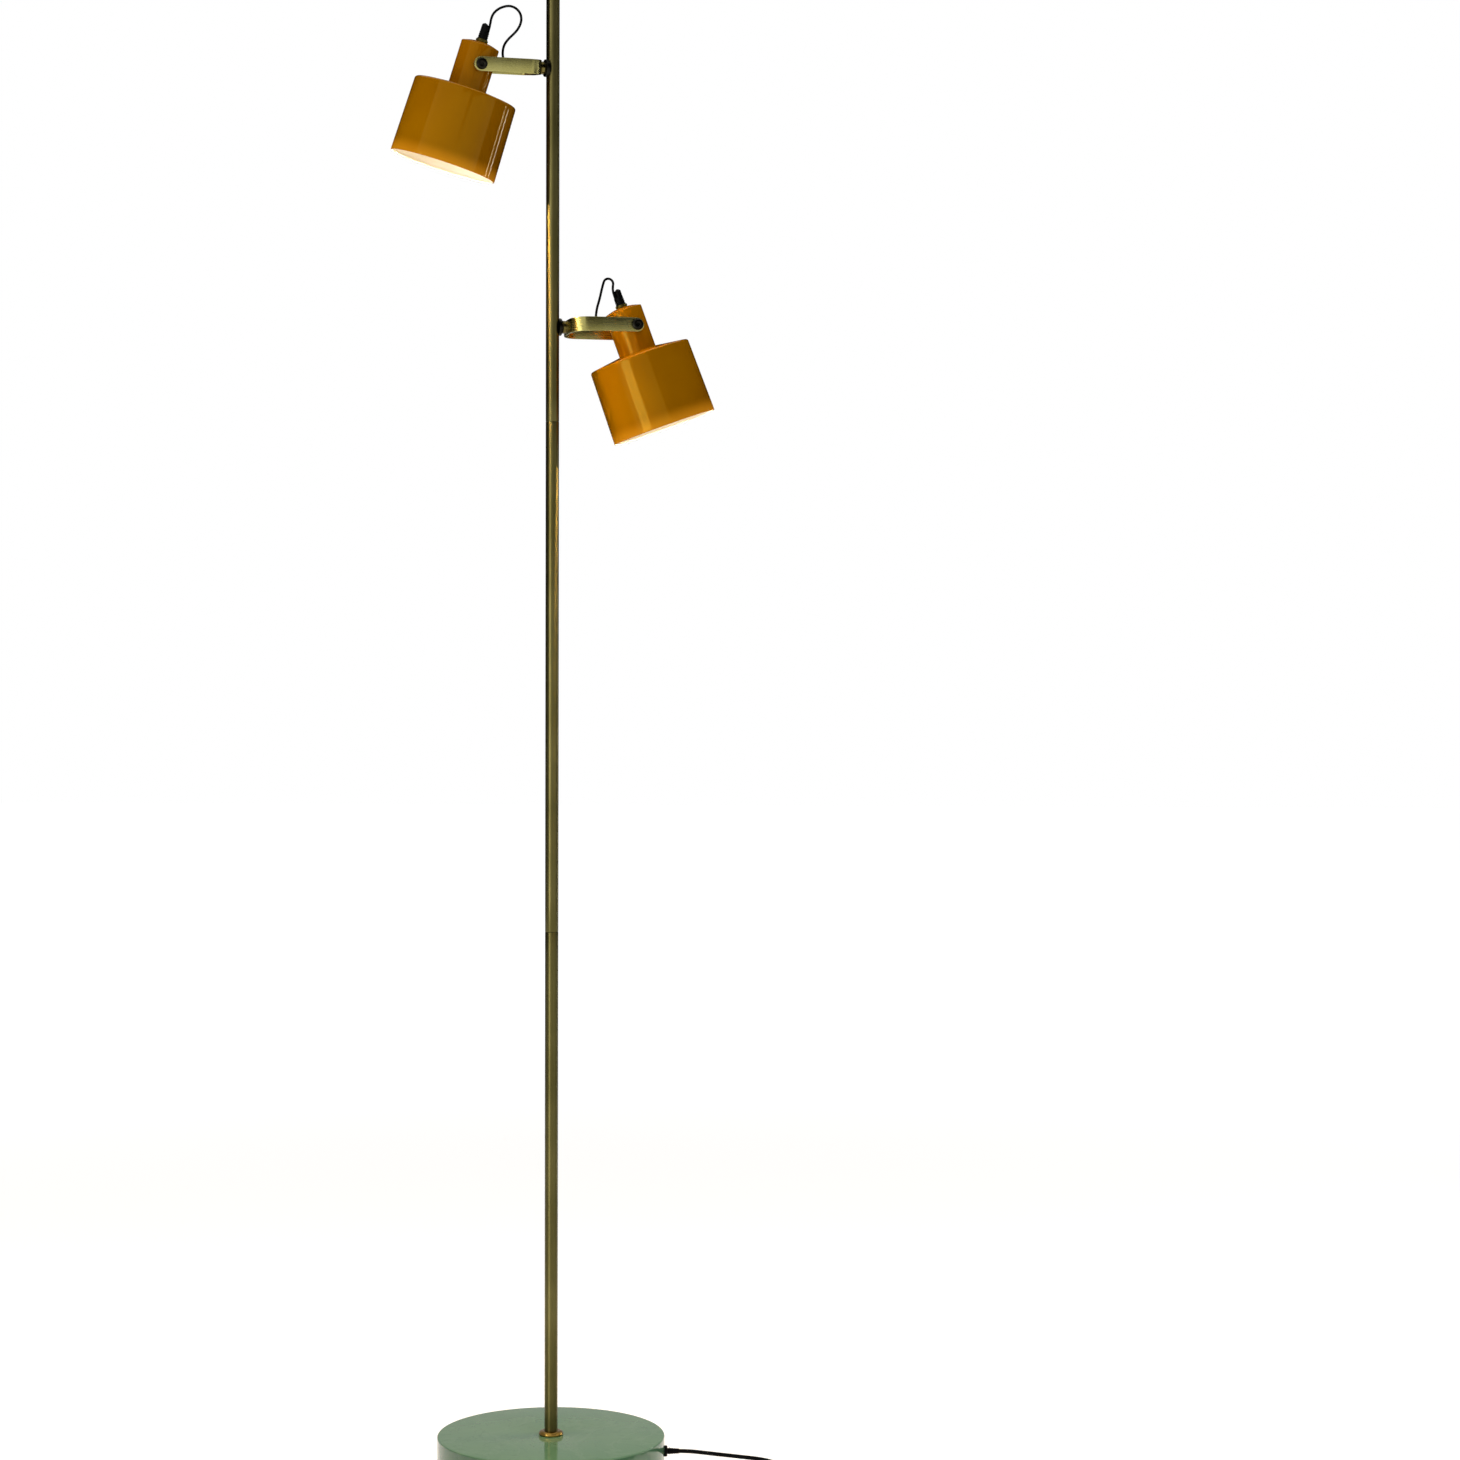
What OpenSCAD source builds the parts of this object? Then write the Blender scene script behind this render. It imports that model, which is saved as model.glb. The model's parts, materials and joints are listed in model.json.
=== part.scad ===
// Two-headed floor lamp: a brass pole in three screwed lengths on a round marble base,
// with two enamelled steel shades that swivel and tilt in brass yokes.
// Millimetres, +Z up. The origin is the centre of the foot pad's underside, on the floor.

/* [Base] */
// Diameter of the marble disc
base_d = 225; // [200:1:260]
// Thickness of the marble disc
base_h = 32; // [30:1:45]
// Radius of the marble's top and bottom edges
base_edge = 1.5; // [0.5:0.5:4]
// Thickness of the soft foot pad under the marble
pad_h = 3; // [2:0.5:5]
// How far the foot pad stays back from the marble's edge
pad_inset = 8; // [4:1:20]
// Diameter of the wiring recess under the marble
recess_d = 72; // [66:1:90]
// Depth of the wiring recess above the marble's underside
recess_h = 21; // [20:0.5:22]
// Thickness of the recess cover
cover_h = 2.5; // [2:0.5:3]
// Width of the ledge that the recess cover sits on
cover_ledge = 9; // [8:0.5:12]
// Outer diameter of the brass collar at the pole's foot
collar_d = 24.4; // [20:0.2:34]
// Height of the brass collar
collar_h = 4.5; // [3:0.5:8]

/* [Pole] */
// Outer diameter of the pole tubes
pole_d = 13; // [13:0.5:16]
// Wall of the pole tubes
pole_wall = 1; // [0.8:0.1:1.4]
// Length of each of the three pole tubes
tube_l = 500; // [480:5:560]
// Length of the plug that joins two tubes
coupler_l = 40; // [24:1:60]
// Length of the threaded plug in the pole's foot
insert_l = 16; // [12:1:24]
// Height of the cap that shows above the pole
cap_h = 3; // [2:0.5:8]

/* [Arms] */
// Angle of the arms' vertical plane from the front
arm_turn = 20.2; // [0:0.1:40]
// Distance of the upper swivel below the pole's top
upper_drop = 158.3; // [60:0.1:200]
// Height of the lower swivel above the pole's upper seam
lower_rise = 92; // [60:0.5:140]
// Swivel of the upper head about its stem
upper_roll = -5.6; // [-10:0.1:10]
// Swivel of the lower head about its stem
lower_roll = -6.9; // [-10:0.1:10]
// Tilt of the upper head, mouth away from the pole
upper_tilt = 16.6; // [0:0.1:30]
// Tilt of the lower head, mouth away from the pole
lower_tilt = 18.7; // [0:0.1:30]
// Distance from the pole's axis to the tilt pins
reach = 79; // [76:0.5:90]
// Distance from the pole's axis to the back of the yoke
yoke_back = 14.6; // [13.5:0.1:18]
// Outer width of the yoke
yoke_w = 49; // [48:0.5:60]
// Thickness of the yoke's strip
yoke_t = 2.5; // [2:0.1:3]
// Height of the yoke's strip
yoke_h = 14; // [13:0.5:20]
// Outer radius of the yoke's bends
yoke_bend = 17; // [10:0.5:20]
// Diameter of the hollow stud that the yoke swivels on
stud_d = 6; // [5.5:0.1:7]
// Wall of the hollow stud
stud_wall = 1.4; // [1:0.1:1.5]
// Diameter of the brass barrel between pole and yoke
barrel_d = 12.4; // [11:0.1:15]
// Diameter of the saddle washer against the pole
saddle_d = 17; // [15:0.5:22]
// Thickness of the saddle washer in front of the pole
saddle_t = 1.9; // [1.5:0.1:3]
// Diameter of the pivot screws
pivot_d = 5; // [4:0.5:6]
// Diameter of the pivot screws' heads
pivot_head_d = 11; // [9:0.5:13]
// Height of the pivot screws' heads
pivot_head_h = 3.2; // [3:0.1:5]

/* [Head] */
// Outer diameter of the neck
neck_d = 37.4; // [36:0.2:40]
// Height of the neck's rim above the pins
neck_up = 18.7; // [18:0.1:24]
// Depth of the neck's foot below the pins
neck_down = 23.7; // [22:0.1:28]
// Rise of the neck's domed top
dome_h = 3.7; // [2:0.1:6]
// Diameter of the shade at its shoulder
shade_top_d = 101.4; // [94:0.2:106]
// Diameter of the shade at its mouth
shade_mouth_d = 104.2; // [98:0.2:112]
// Fall of the shade's top from the neck to the shoulder
shade_fall = 4.7; // [3:0.1:8]
// Height of the shade's side
shade_h = 74.1; // [72:0.1:90]
// Sheet thickness of neck and shade
sheet = 1; // [0.8:0.1:1.2]
// Diameter of the lamp holder's threaded skirt
skirt_d = 28.4; // [27.6:0.2:29]
// Diameter of the lamp holder's body
holder_d = 25; // [22:0.5:26]
// Diameter of the lamp holder's hollow stem
holder_stem_d = 8; // [7.5:0.1:8.5]
// Outer diameter of the shade ring
ring_d = 37; // [34:0.5:40]
// Height of the shade ring
ring_h = 6; // [4:0.5:8]
// Diameter of the bulb's globe
bulb_d = 45; // [40:1:48]
// Length of the bulb's glass
bulb_l = 50; // [45:0.5:54]
// Diameter of the bulb's screw cap
bulb_cap_d = 13.8; // [13:0.1:14]

/* [Cord grip] */
// Diameter of the cord grip
grip_d = 10; // [9.8:0.1:12]
// Height of the grip's ribbed body
grip_h = 8; // [7:0.5:12]
// Height of the grip's tongue above its body
tongue_h = 8; // [4:0.5:12]
// Outer diameter of the ring nut under the grip
grip_nut_d = 12; // [11:0.2:14]
// Height of the ring nut
grip_nut_h = 2.5; // [2:0.1:4]

/* [Cords] */
// Diameter of the cord at each head
lead_d = 2.4; // [2:0.1:2.6]
// Diameter of the mains cord
mains_d = 4; // [3.6:0.1:4.4]
// Height of the cord's outlet in the base
outlet_z = 19; // [17:0.5:22]
// Diameter of the strain relief's flange
relief_d = 11; // [9:0.5:13]
// Length of the strain relief's taper outside the base
relief_l = 12; // [8:1:30]
// Turns in the stored coil
coil_turns = 11; // [9:1:14]
// Outer radius of the coil, to the cord's centre
coil_r = 29.5; // [28:0.5:34]
// Distance between the coil's turns and layers
coil_step = 4.6; // [4.5:0.1:5]

/* [Foot switch and plug] */
// Length of the foot switch between its cord sleeves
switch_l = 60; // [56:1:80]
// Width of the foot switch
switch_w = 28; // [26:1:36]
// Height of the foot switch's lower shell
switch_low = 8; // [8:0.5:10]
// Height of the foot switch's upper shell
switch_high = 9; // [8:0.5:12]
// Diameter of the push button
button_d = 18; // [14:0.5:20]
// Travel of the push button
button_travel = 2.5; // [1.5:0.1:3]
// Width of the plug
plug_w = 35; // [32:0.5:38]
// Thickness of the plug
plug_t = 14; // [13:0.5:16]
// Distance between the plug's pins
pin_gap = 19; // [18:0.1:20]

/* [Hidden] */

$fn = 72;
eps = 0.01;

// Clearances
fit = 0.05;     // round piece in its hole, on the radius
slide = 0.1;    // flat faces that turn on each other
loose = 0.3;    // a screw or cord through a plain hole, on the radius

// Heights along the pole
marble_z = pad_h;
pole_z = marble_z + base_h;
recess_top = marble_z + recess_h;
cover_top = marble_z + cover_h;
pole_top = pole_z + 3 * tube_l;
pole_r = pole_d / 2;
pole_bore_r = pole_r - pole_wall;

// A head is its swivel's height, the turn of its arm, its roll and its tilt
upper = [pole_top - upper_drop, arm_turn + 180, upper_roll, upper_tilt];
lower = [pole_z + 2 * tube_l + lower_rise, arm_turn, lower_roll, lower_tilt];

// Threaded parts in the base
nipple_d = 8;
nipple_bore_d = 6;
nipple_down = 9;
nipple_up = 13;
washer_d = 24;
washer_t = 1.5;
nut_flats = 13;
nut_h = 5;
screw_d = 3;
screw_l = 8;
screw_head_d = 5.6;
screw_head_h = 1.6;
cover_screws = 3;
cover_screw_r = recess_d / 2 + cover_ledge / 2;

// Terminal block, clip and outlet in the base
block_x = 8;
block_l = 15;
block_w = 18;
block_h = 8.8;
block_z = cover_top + 0.2;
clip_x = 29.5;
clip_w = 5;
clip_wall = 2;
clip_ear = 9;
clip_ear_h = 2.5;
core_d = 2;
core_gap = 2.2;
core_bend = 3;
sheath_end = block_x + block_l + 2 * core_bend + fit;
core_z = block_z + block_h / 2;
relief_shank_d = 9;
relief_shank_l = 14;
relief_flange_t = 2.8;
relief_root_d = 7;
relief_tip_d = mains_d + 1;
relief_x = base_d / 2 + relief_flange_t + relief_l;

// Leads inside the pole, side by side in the arms' plane
lead_off = 1.6;
lead_bend = 2.2;
lead_foot_bend = 4;
lead_foot_x = lead_off + lead_foot_bend;
lead_foot_end = (block_x - fit - lead_d / 2 * sin(arm_turn)) / cos(arm_turn);
lead_foot_z = recess_top - nipple_down - 0.8;
lead_bore_d = 2 * lead_off + lead_d + 0.4;
lead_end = yoke_back + yoke_t + 3.9;

// Swivel hardware
cross_nut_l = 20;
stud_in = lead_bore_d / 2 + 0.3;
stud_end = yoke_back + yoke_t + 5.5;
stud_nut_flats = 10;
stud_nut_h = 4;
barrel_x = pole_r + saddle_t;

// Tilt hardware
arm_out = yoke_w / 2;
arm_in = arm_out - yoke_t;
boss_flange_d = 12;
boss_d = 7.6;
boss_in = neck_d / 2 - sheet - 1.6;
socket_flats = 4;
socket_h = 1.8;
head_dome_h = 1.4;

// Head, heights above the pins
neck_r = neck_d / 2;
dome_r = (neck_r * neck_r + dome_h * dome_h) / (2 * dome_h);
dome_z = neck_up + dome_h - dome_r;
dome_top = neck_up + dome_h;
shoulder_z = -neck_down - shade_fall;
mouth_z = shoulder_z - shade_h;
shade_slope = shade_fall / (shade_top_d / 2 - neck_r);
collar_in_d = 13;
collar_in_z = dome_z + sqrt(pow(dome_r - sheet, 2) - pow(collar_in_d / 2, 2)) - fit;
holder_top = 12;
skirt_top = -neck_down + 1.5;
skirt_end = -neck_down - 16.3;
stem_top = dome_top + grip_nut_h + 4.6;
stem_bore_d = 5;
socket_depth = 26;
cap_gap = 1.5;
socket_d = bulb_cap_d + 0.8;
socket_top = skirt_end + socket_depth;
ring_top = -neck_down - sheet - fit;
cap_top = socket_top - cap_gap;
cap_end = skirt_end - cap_gap;
cap_tip_d = 6;
cap_tip_h = 2;
glass_t = 0.8;
glass_neck_d = 17;
globe_z = cap_end - bulb_l + bulb_d / 2;
globe_join = 50;

// Cord grip
grip_z = dome_top + grip_nut_h + fit;
grip_thread_h = 4.8;
grip_hole_x = -3.3;
grip_rib = 0.5;
grip_ribs = 4;
tongue_x = -1.5;
grip_top = grip_z + grip_h;

// Cords on the floor. Each route is a list of points chosen by hand.
mains_r = mains_d / 2;
tie_t = 0.8;
tie_w = 10;
tie_gap = 0.15;
coil_centre = [190, -126];
coil_z = mains_r + tie_t + tie_gap;
coil_layers = 4;
coil_layer_turns = coil_turns / coil_layers;
coil_in_r = coil_r - coil_step * coil_layer_turns;
coil_rings = 24;
coil_sides = 6;
switch_pos = [265, -88];
switch_sleeve_l = 20;
switch_sleeve_z = 5;
plug_pos = [112, coil_centre[1] - coil_r - 1.5];
plug_z = plug_t / 2;

mains_route = [
    [relief_x, 0, outlet_z], [relief_x + 3, 0, outlet_z], [138, 0, 18.7], [148, 0, 17.8],
    [164, 0, 16], [182, 0, 14.1], [201, 0, 12], [212, -0.5, 10.4], [222, -2, 8.2],
    [232, -5, 5.6], [242, -9, 3.6], [251, -15, 2.8], [258, -22, 3], [263, -30, 4.2],
    [switch_pos[0], -38, switch_sleeve_z] + [0, 8, 0] / 3,
    [switch_pos[0], switch_pos[1] + switch_l / 2 + switch_sleeve_l, switch_sleeve_z]
];

link_route = concat(
    [
        [switch_pos[0], switch_pos[1] - switch_l / 2 - switch_sleeve_l, switch_sleeve_z],
        [switch_pos[0], -138, switch_sleeve_z] - [0, 8, 0] / 3,
        [264.7, -145, 4.8], [262, -150, 4.4], [256, -155, 4], [248, -157.5, 3.6],
        [237, -157.5, 3.2], [223, -157, 3], [209, -156, 3]
    ],
    [coil_end(0, 2.5), coil_end(0, 1)]
);

tail_route = concat(
    [coil_end(coil_turns, 1), coil_end(coil_turns, 2.5)],
    [
        [170, -156, 16], [161, -156.5, 14.4], [152, -157, 12.4], [143, -157, 10.4],
        [134, -157, 8.6], [125, -157, 7.4]
    ],
    [[plug_pos[0] + 4, plug_pos[1], plug_z], [plug_pos[0], plug_pos[1], plug_z]]
);

// Head cords, in the arm's plane. A start is in the head's own X and Z. A loop's points are
// a share of the way from the stud's end to the pins, and the height above the pins.
upper_start = [[-3.15, 38.3], [-2.7, 42.8], [-2.3, 47]];
upper_loop = [
    [0.6948, 49], [0.6207, 53.2], [0.531, 55.8], [0.4241, 57], [0.3207, 55.4],
    [0.2448, 51.4], [0.2138, 46], [0.2276, 40.4], [0.2759, 35], [0.3448, 30.4],
    [0.4241, 25.8], [0.4897, 20.4], [0.5172, 14.4], [0.5103, 8], [0.4655, 3],
    [0.3879, 0.4], [0.2931, 0], [0.1552, 0]
];
lower_start = [[-3.15, 38.4], [-2.1, 42.9]];
lower_loop = [
    [0.7379, 44.57], [0.7252, 47], [0.6931, 48.73], [0.6505, 49.3], [0.6086, 48.56],
    [0.5788, 46.7], [0.5517, 42.4], [0.5241, 37], [0.4983, 31.4], [0.469, 25.8],
    [0.4379, 20.2], [0.4172, 14.4], [0.4034, 8.6], [0.3621, 3.4], [0.2862, 0.5],
    [0.1552, 0]
];

// ---- Sweeps ----

function unit(v) = v / norm(v);

function square_to(t, n) = unit(n - t * (n * t));

function tangents(p) =
    let (last = len(p) - 1)
    [for (i = [0 : last]) unit(p[min(i + 1, last)] - p[max(i - 1, 0)])];

function normals(t) = [
    for (i = 0, n = square_to(t[0], [0.1, 0.2, 1]);
         i < len(t);
         i = i + 1, n = square_to(t[min(i, len(t) - 1)], n))
        n
];

// A round cord swept along its route
module cord(route, d, sides) {
    t = tangents(route);
    n = normals(t);
    last = (len(route) - 1) * sides;
    points = [
        for (i = [0 : len(route) - 1])
            for (k = [0 : sides - 1])
                route[i] + d / 2 * (cos(360 * k / sides) * n[i]
                                    + sin(360 * k / sides) * cross(t[i], n[i]))
    ];
    skin = [
        for (i = [0 : len(route) - 2])
            for (k = [0 : sides - 1])
                let (a = i * sides + k, b = i * sides + (k + 1) % sides)
                each [[a, a + sides, b + sides], [a, b + sides, b]]
    ];
    ends = [
        for (k = [1 : sides - 2])
            each [[0, k, k + 1], [last, last + k + 1, last + k]]
    ];
    polyhedron(points, concat(skin, ends));
}

// ---- Coil ----

// The spiral runs in and out again by turns, and climbs a layer as it reverses
function coil_radius(u) =
    let (w = u % (2 * coil_layer_turns))
    coil_r - coil_step * (w < coil_layer_turns ? w : 2 * coil_layer_turns - w);

function coil_climb(u, k = 1) =
    k >= coil_layers ? 0
    : min(1, max(0, (u - k * coil_layer_turns) * 2 + 0.5)) + coil_climb(u, k + 1);

function coil_point(u) = [
    coil_centre[0] + coil_radius(u) * cos(-90 - 360 * u),
    coil_centre[1] + coil_radius(u) * sin(-90 - 360 * u),
    coil_z + coil_step * coil_climb(u)
];

// A point on the straight run before the coil's start or past its end, so many diameters out
function coil_end(u, diameters) =
    let (first = u < 1)
    let (inner = first ? coil_point(0.001) : coil_point(u - 0.001))
    coil_point(first ? 0 : u) + mains_d * diameters * unit(coil_point(first ? 0 : u) - inner);

coil_path = concat(
    [coil_end(0, 1)],
    [for (i = [0 : coil_turns * coil_rings]) coil_point(min(i / coil_rings, coil_turns - eps / 100))],
    [coil_end(coil_turns, 1)]
);

coil_gap = min([
    for (i = [0 : len(coil_path) - 1])
        for (j = [i + coil_rings / 2 : 1 : len(coil_path) - 1])
            norm(coil_path[i] - coil_path[j])
]) - mains_d;
echo(least_coil_gap = coil_gap);

// ---- Shared shapes ----

// A hole or pin along Z, from z0 to z1
module post(d, z0, z1) {
    translate([0, 0, z0]) cylinder(d = d, h = z1 - z0);
}

module tube(d, bore, z0, z1) {
    difference() {
        post(d, z0, z1);
        post(bore, z0 - 1, z1 + 1);
    }
}

// A hexagon bar along Z, measured across its flats
module hex(flats, z0, z1) {
    translate([0, 0, z0]) cylinder(d = flats / cos(30), h = z1 - z0, $fn = 6);
}

// A disc with rounded edges
module soft_disc(d, h, edge) {
    rotate_extrude() {
        square([d / 2 - edge, h]);
        translate([0, edge]) square([d / 2, h - 2 * edge]);
        for (z = [edge, h - edge]) translate([d / 2 - edge, z]) circle(edge);
    }
}

// Turns Z-built pieces to lie along X
module along_x() {
    rotate([0, 90, 0]) children();
}

// Turns Z-built pieces to lie along Y
module along_y() {
    rotate([-90, 0, 0]) children();
}

// A quarter bend in the XZ plane, from start to start + 90 degrees about its centre
module elbow(d, bend, start) {
    rotate([90, 0, 0]) rotate([0, 0, start])
        rotate_extrude(angle = 90) translate([bend, 0]) circle(d = d);
}

// A plate with round ends, along Y
module slot_plate(l, w, h) {
    translate([-w / 2, -(l - w) / 2, 0]) cube([w, l - w, h]);
    for (s = [-1, 1]) translate([0, s * (l - w) / 2, 0]) cylinder(d = w, h = h);
}

module on_pole(head) {
    translate([0, 0, head[0]]) rotate([0, 0, head[1]]) children();
}

module on_arm(head) {
    on_pole(head) rotate([head[2], 0, 0]) children();
}

module on_pin(head) {
    on_arm(head) translate([reach, 0, 0]) rotate([0, -head[3], 0]) children();
}

module both_swivels() {
    on_pole(upper) children();
    on_pole(lower) children();
}

module both_pins() {
    for (s = [0, 180]) rotate([0, 0, s]) along_y() children();
}

// ---- Base ----

module marble_base() color("darkseagreen")
difference() {
    translate([0, 0, marble_z]) soft_disc(base_d, base_h, base_edge);
    post(nipple_d + 2 * loose, marble_z, pole_z + 1);
    post(recess_d, marble_z - 1, recess_top);
    post(recess_d + 2 * cover_ledge + 2 * loose, marble_z - 1, cover_top);
    translate([0, 0, outlet_z]) along_x() post(mains_d + 2 * loose, 0, base_d);
    translate([0, 0, outlet_z]) along_x()
        post(relief_shank_d + 2 * fit, base_d / 2 - relief_shank_l - loose, base_d);
    at_cover_screws() post(screw_d + 2 * fit, 0, screw_l + loose);
    at_clip_screw() post(screw_d + 2 * fit, 0, screw_l + loose);
}

module foot_pad() color("dimgray")
cylinder(d = base_d - 2 * pad_inset, h = pad_h);

// Screws point up, with the underside of their heads at the origin
module at_cover_screws() {
    for (i = [0 : cover_screws - 1])
        rotate([0, 0, 90 + i * 360 / cover_screws])
            translate([cover_screw_r, 0, marble_z + screw_head_h]) children();
}

module at_clip_screw() {
    translate([clip_x + clip_w / 2, clip_ear - screw_head_d / 2, recess_top - clip_ear_h])
        children();
}

module base_cover() color("darkslategray")
difference() {
    post(recess_d + 2 * cover_ledge, marble_z, cover_top);
    at_cover_screws() {
        post(screw_d + 2 * fit, -pad_h, screw_l);
        post(screw_head_d + 2 * fit, -pad_h, 0);
    }
}

module base_screws() color("silver") {
    at_cover_screws() base_screw();
    at_clip_screw() base_screw();
}

module base_screw() {
    difference() {
        union() {
            post(screw_d, 0, screw_l);
            post(screw_head_d, -screw_head_h, 0);
        }
        hex(screw_d * 0.7, -screw_head_h - 1, -screw_head_h / 2);
    }
}

module base_nipple() color("silver")
tube(nipple_d, nipple_bore_d, recess_top - nipple_down, pole_z + nipple_up);

module base_washer() color("silver")
tube(washer_d, nipple_d + 2 * loose, recess_top - washer_t, recess_top);

module base_nut() color("silver")
difference() {
    hex(nut_flats, recess_top - washer_t - nut_h, recess_top - washer_t);
    post(nipple_d + 2 * fit, 0, recess_top);
}

module base_collar() color("darkgoldenrod")
difference() {
    translate([0, 0, pole_z]) soft_disc(collar_d, collar_h, collar_h * 0.4);
    post(pole_d + 2 * fit, pole_z - 1, pole_z + collar_h + 1);
}

module terminal_block() color("white")
difference() {
    translate([block_x, -block_w / 2, block_z]) cube([block_l, block_w, block_h]);
    for (y = [-block_w / 3, 0, block_w / 3])
        translate([block_x + block_l / 2, y, 0]) post(screw_d, core_z, block_z + block_h + 1);
}

module cord_clip() color("dimgray")
difference() {
    union() {
        translate([clip_x, -mains_r - clip_wall, outlet_z - mains_r - clip_wall])
            cube([clip_w, mains_d + 2 * clip_wall, recess_top - outlet_z + mains_r + clip_wall]);
        translate([clip_x, 0, recess_top - clip_ear_h]) cube([clip_w, clip_ear, clip_ear_h]);
    }
    translate([0, 0, outlet_z]) along_x() post(mains_d + 2 * fit, 0, base_d / 2);
    at_clip_screw() post(screw_d + 2 * fit, -pad_h, screw_l);
    at_clip_screw() post(screw_head_d + 2 * fit, -2 * screw_head_h, 0);
}

module mains_relief() color("black")
translate([0, 0, outlet_z]) along_x() difference() {
    union() {
        post(relief_shank_d, base_d / 2 - relief_shank_l, base_d / 2 + eps);
        post(relief_d, base_d / 2, base_d / 2 + relief_flange_t);
        translate([0, 0, base_d / 2 + relief_flange_t])
            cylinder(d1 = relief_root_d, d2 = relief_tip_d, h = relief_l);
    }
    post(mains_d + 2 * fit, 0, relief_x - 1.5);
}

// The sheathed cord from the relief to the clip, then its two cores down to the block
module mains_inner() color("black") {
    translate([0, 0, outlet_z]) along_x() post(mains_d, sheath_end, relief_x - 1.5);
    for (y = [-core_gap / 2, core_gap / 2]) translate([sheath_end, y, 0]) {
        translate([-eps, 0, outlet_z]) along_x() post(core_d, 0, 1);
        translate([0, 0, outlet_z - core_bend]) elbow(core_d, core_bend, 90);
        translate([-core_bend, 0, 0]) post(core_d, core_z + core_bend, outlet_z - core_bend);
        translate([-core_bend - core_bend, 0, core_z + core_bend]) elbow(core_d, core_bend, 270);
    }
}

// ---- Pole ----

module foot_insert() color("silver")
tube(2 * (pole_bore_r - fit), nipple_d + 2 * fit, pole_z, pole_z + insert_l);

module pole_tube(n) color("darkgoldenrod")
difference() {
    tube(pole_d, 2 * pole_bore_r, pole_z + n * tube_l, pole_z + (n + 1) * tube_l);
    both_swivels() along_x() post(stud_d + 2 * fit, 0, pole_d);
}

module pole_couplers() color("silver")
for (n = [1, 2])
    tube(2 * (pole_bore_r - fit), lead_bore_d,
         pole_z + n * tube_l - coupler_l / 2, pole_z + n * tube_l + coupler_l / 2);

module pole_cap() color("darkgoldenrod") {
    translate([0, 0, pole_top]) difference() {
        translate([0, 0, -cap_h]) soft_disc(pole_d, 2 * cap_h, cap_h * 0.45);
        post(pole_d + 2, -cap_h - 1, 0);
    }
    post(2 * (pole_bore_r - fit), pole_top - 2 * cap_h, pole_top + eps);
}

// One cord for each head, from the terminal block up the pole and out through its stud
module pole_leads() color("black")
rotate([0, 0, arm_turn])
for (lead = [[1, lower[0]], [-1, upper[0]]]) {
    x = lead[0] * lead_off;
    foot_bend = lead_foot_x - x;
    top_turn = lead[0] > 0 ? 0 : 180;
    translate([lead_foot_x, 0, lead_foot_z]) elbow(lead_d, foot_bend, 180);
    translate([0, 0, lead_foot_z - foot_bend]) along_x() post(lead_d, lead_foot_x, lead_foot_end);
    translate([x, 0, 0]) post(lead_d, lead_foot_z, lead[1] - lead_bend);
    translate([0, 0, lead[1]]) rotate([0, 0, top_turn]) {
        translate([lead_off + lead_bend, 0, -lead_bend]) elbow(lead_d, lead_bend, 90);
        along_x() post(lead_d, lead_off + lead_bend, lead_end);
    }
}

// ---- Swivels ----

module cross_nuts() color("silver")
both_swivels() difference() {
    tube(2 * (pole_bore_r - slide), lead_bore_d, -cross_nut_l / 2, cross_nut_l / 2);
    along_x() post(stud_d + 2 * fit, 0, pole_d);
}

module saddle_washers() color("black")
both_swivels() difference() {
    along_x() tube(saddle_d, stud_d + 2 * fit, pole_r - 1.5, barrel_x);
    post(pole_d + 2 * fit, -saddle_d, saddle_d);
}

module swivel_studs() color("goldenrod")
both_swivels() along_x() tube(stud_d, stud_d - 2 * stud_wall, stud_in, stud_end);

module stem_barrels() color("darkgoldenrod")
both_swivels() along_x() difference() {
    translate([0, 0, barrel_x]) soft_disc(barrel_d, yoke_back - slide - barrel_x, 0.6);
    post(stud_d + 2 * fit, 0, yoke_back);
}

module stud_nuts() color("black")
both_swivels() along_x() translate([0, 0, yoke_back + yoke_t + slide]) difference() {
    hex(stud_nut_flats, 0, stud_nut_h);
    post(stud_d + 2 * fit, -1, stud_nut_h + 1);
}

// ---- Heads ----

module yoke_outline(grow) {
    w = yoke_w / 2 - grow;
    bend = yoke_bend - grow;
    translate([yoke_back + grow, -(w - bend)]) square([reach, 2 * (w - bend)]);
    translate([yoke_back + grow + bend, -w]) square([reach, 2 * w]);
    for (s = [-1, 1]) translate([yoke_back + grow + bend, s * (w - bend)]) circle(bend);
}

module yoke(head) color("darkkhaki")
on_arm(head) difference() {
    intersection() {
        translate([0, 0, -yoke_h / 2]) linear_extrude(yoke_h) difference() {
            yoke_outline(0);
            yoke_outline(yoke_t);
        }
        union() {
            translate([0, -yoke_w, -yoke_h / 2]) cube([reach, 2 * yoke_w, yoke_h]);
            translate([reach, 0, 0]) along_y() post(yoke_h, -yoke_w, yoke_w);
        }
    }
    along_x() post(stud_d + 2 * fit, 0, reach / 2);
    translate([reach, 0, 0]) along_y() post(pivot_d + 2 * fit, -yoke_w, yoke_w);
}

module pivot_screws(head) color("black")
on_pin(head) both_pins() difference() {
    union() {
        post(pivot_d, boss_in, arm_out + slide + eps);
        post(pivot_head_d, arm_out + slide, arm_out + slide + pivot_head_h - head_dome_h);
        translate([0, 0, arm_out + slide + pivot_head_h - head_dome_h])
            cylinder(d1 = pivot_head_d, d2 = pivot_head_d * 0.66, h = head_dome_h);
    }
    hex(socket_flats, arm_out + slide + pivot_head_h - socket_h, yoke_w);
}

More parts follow.
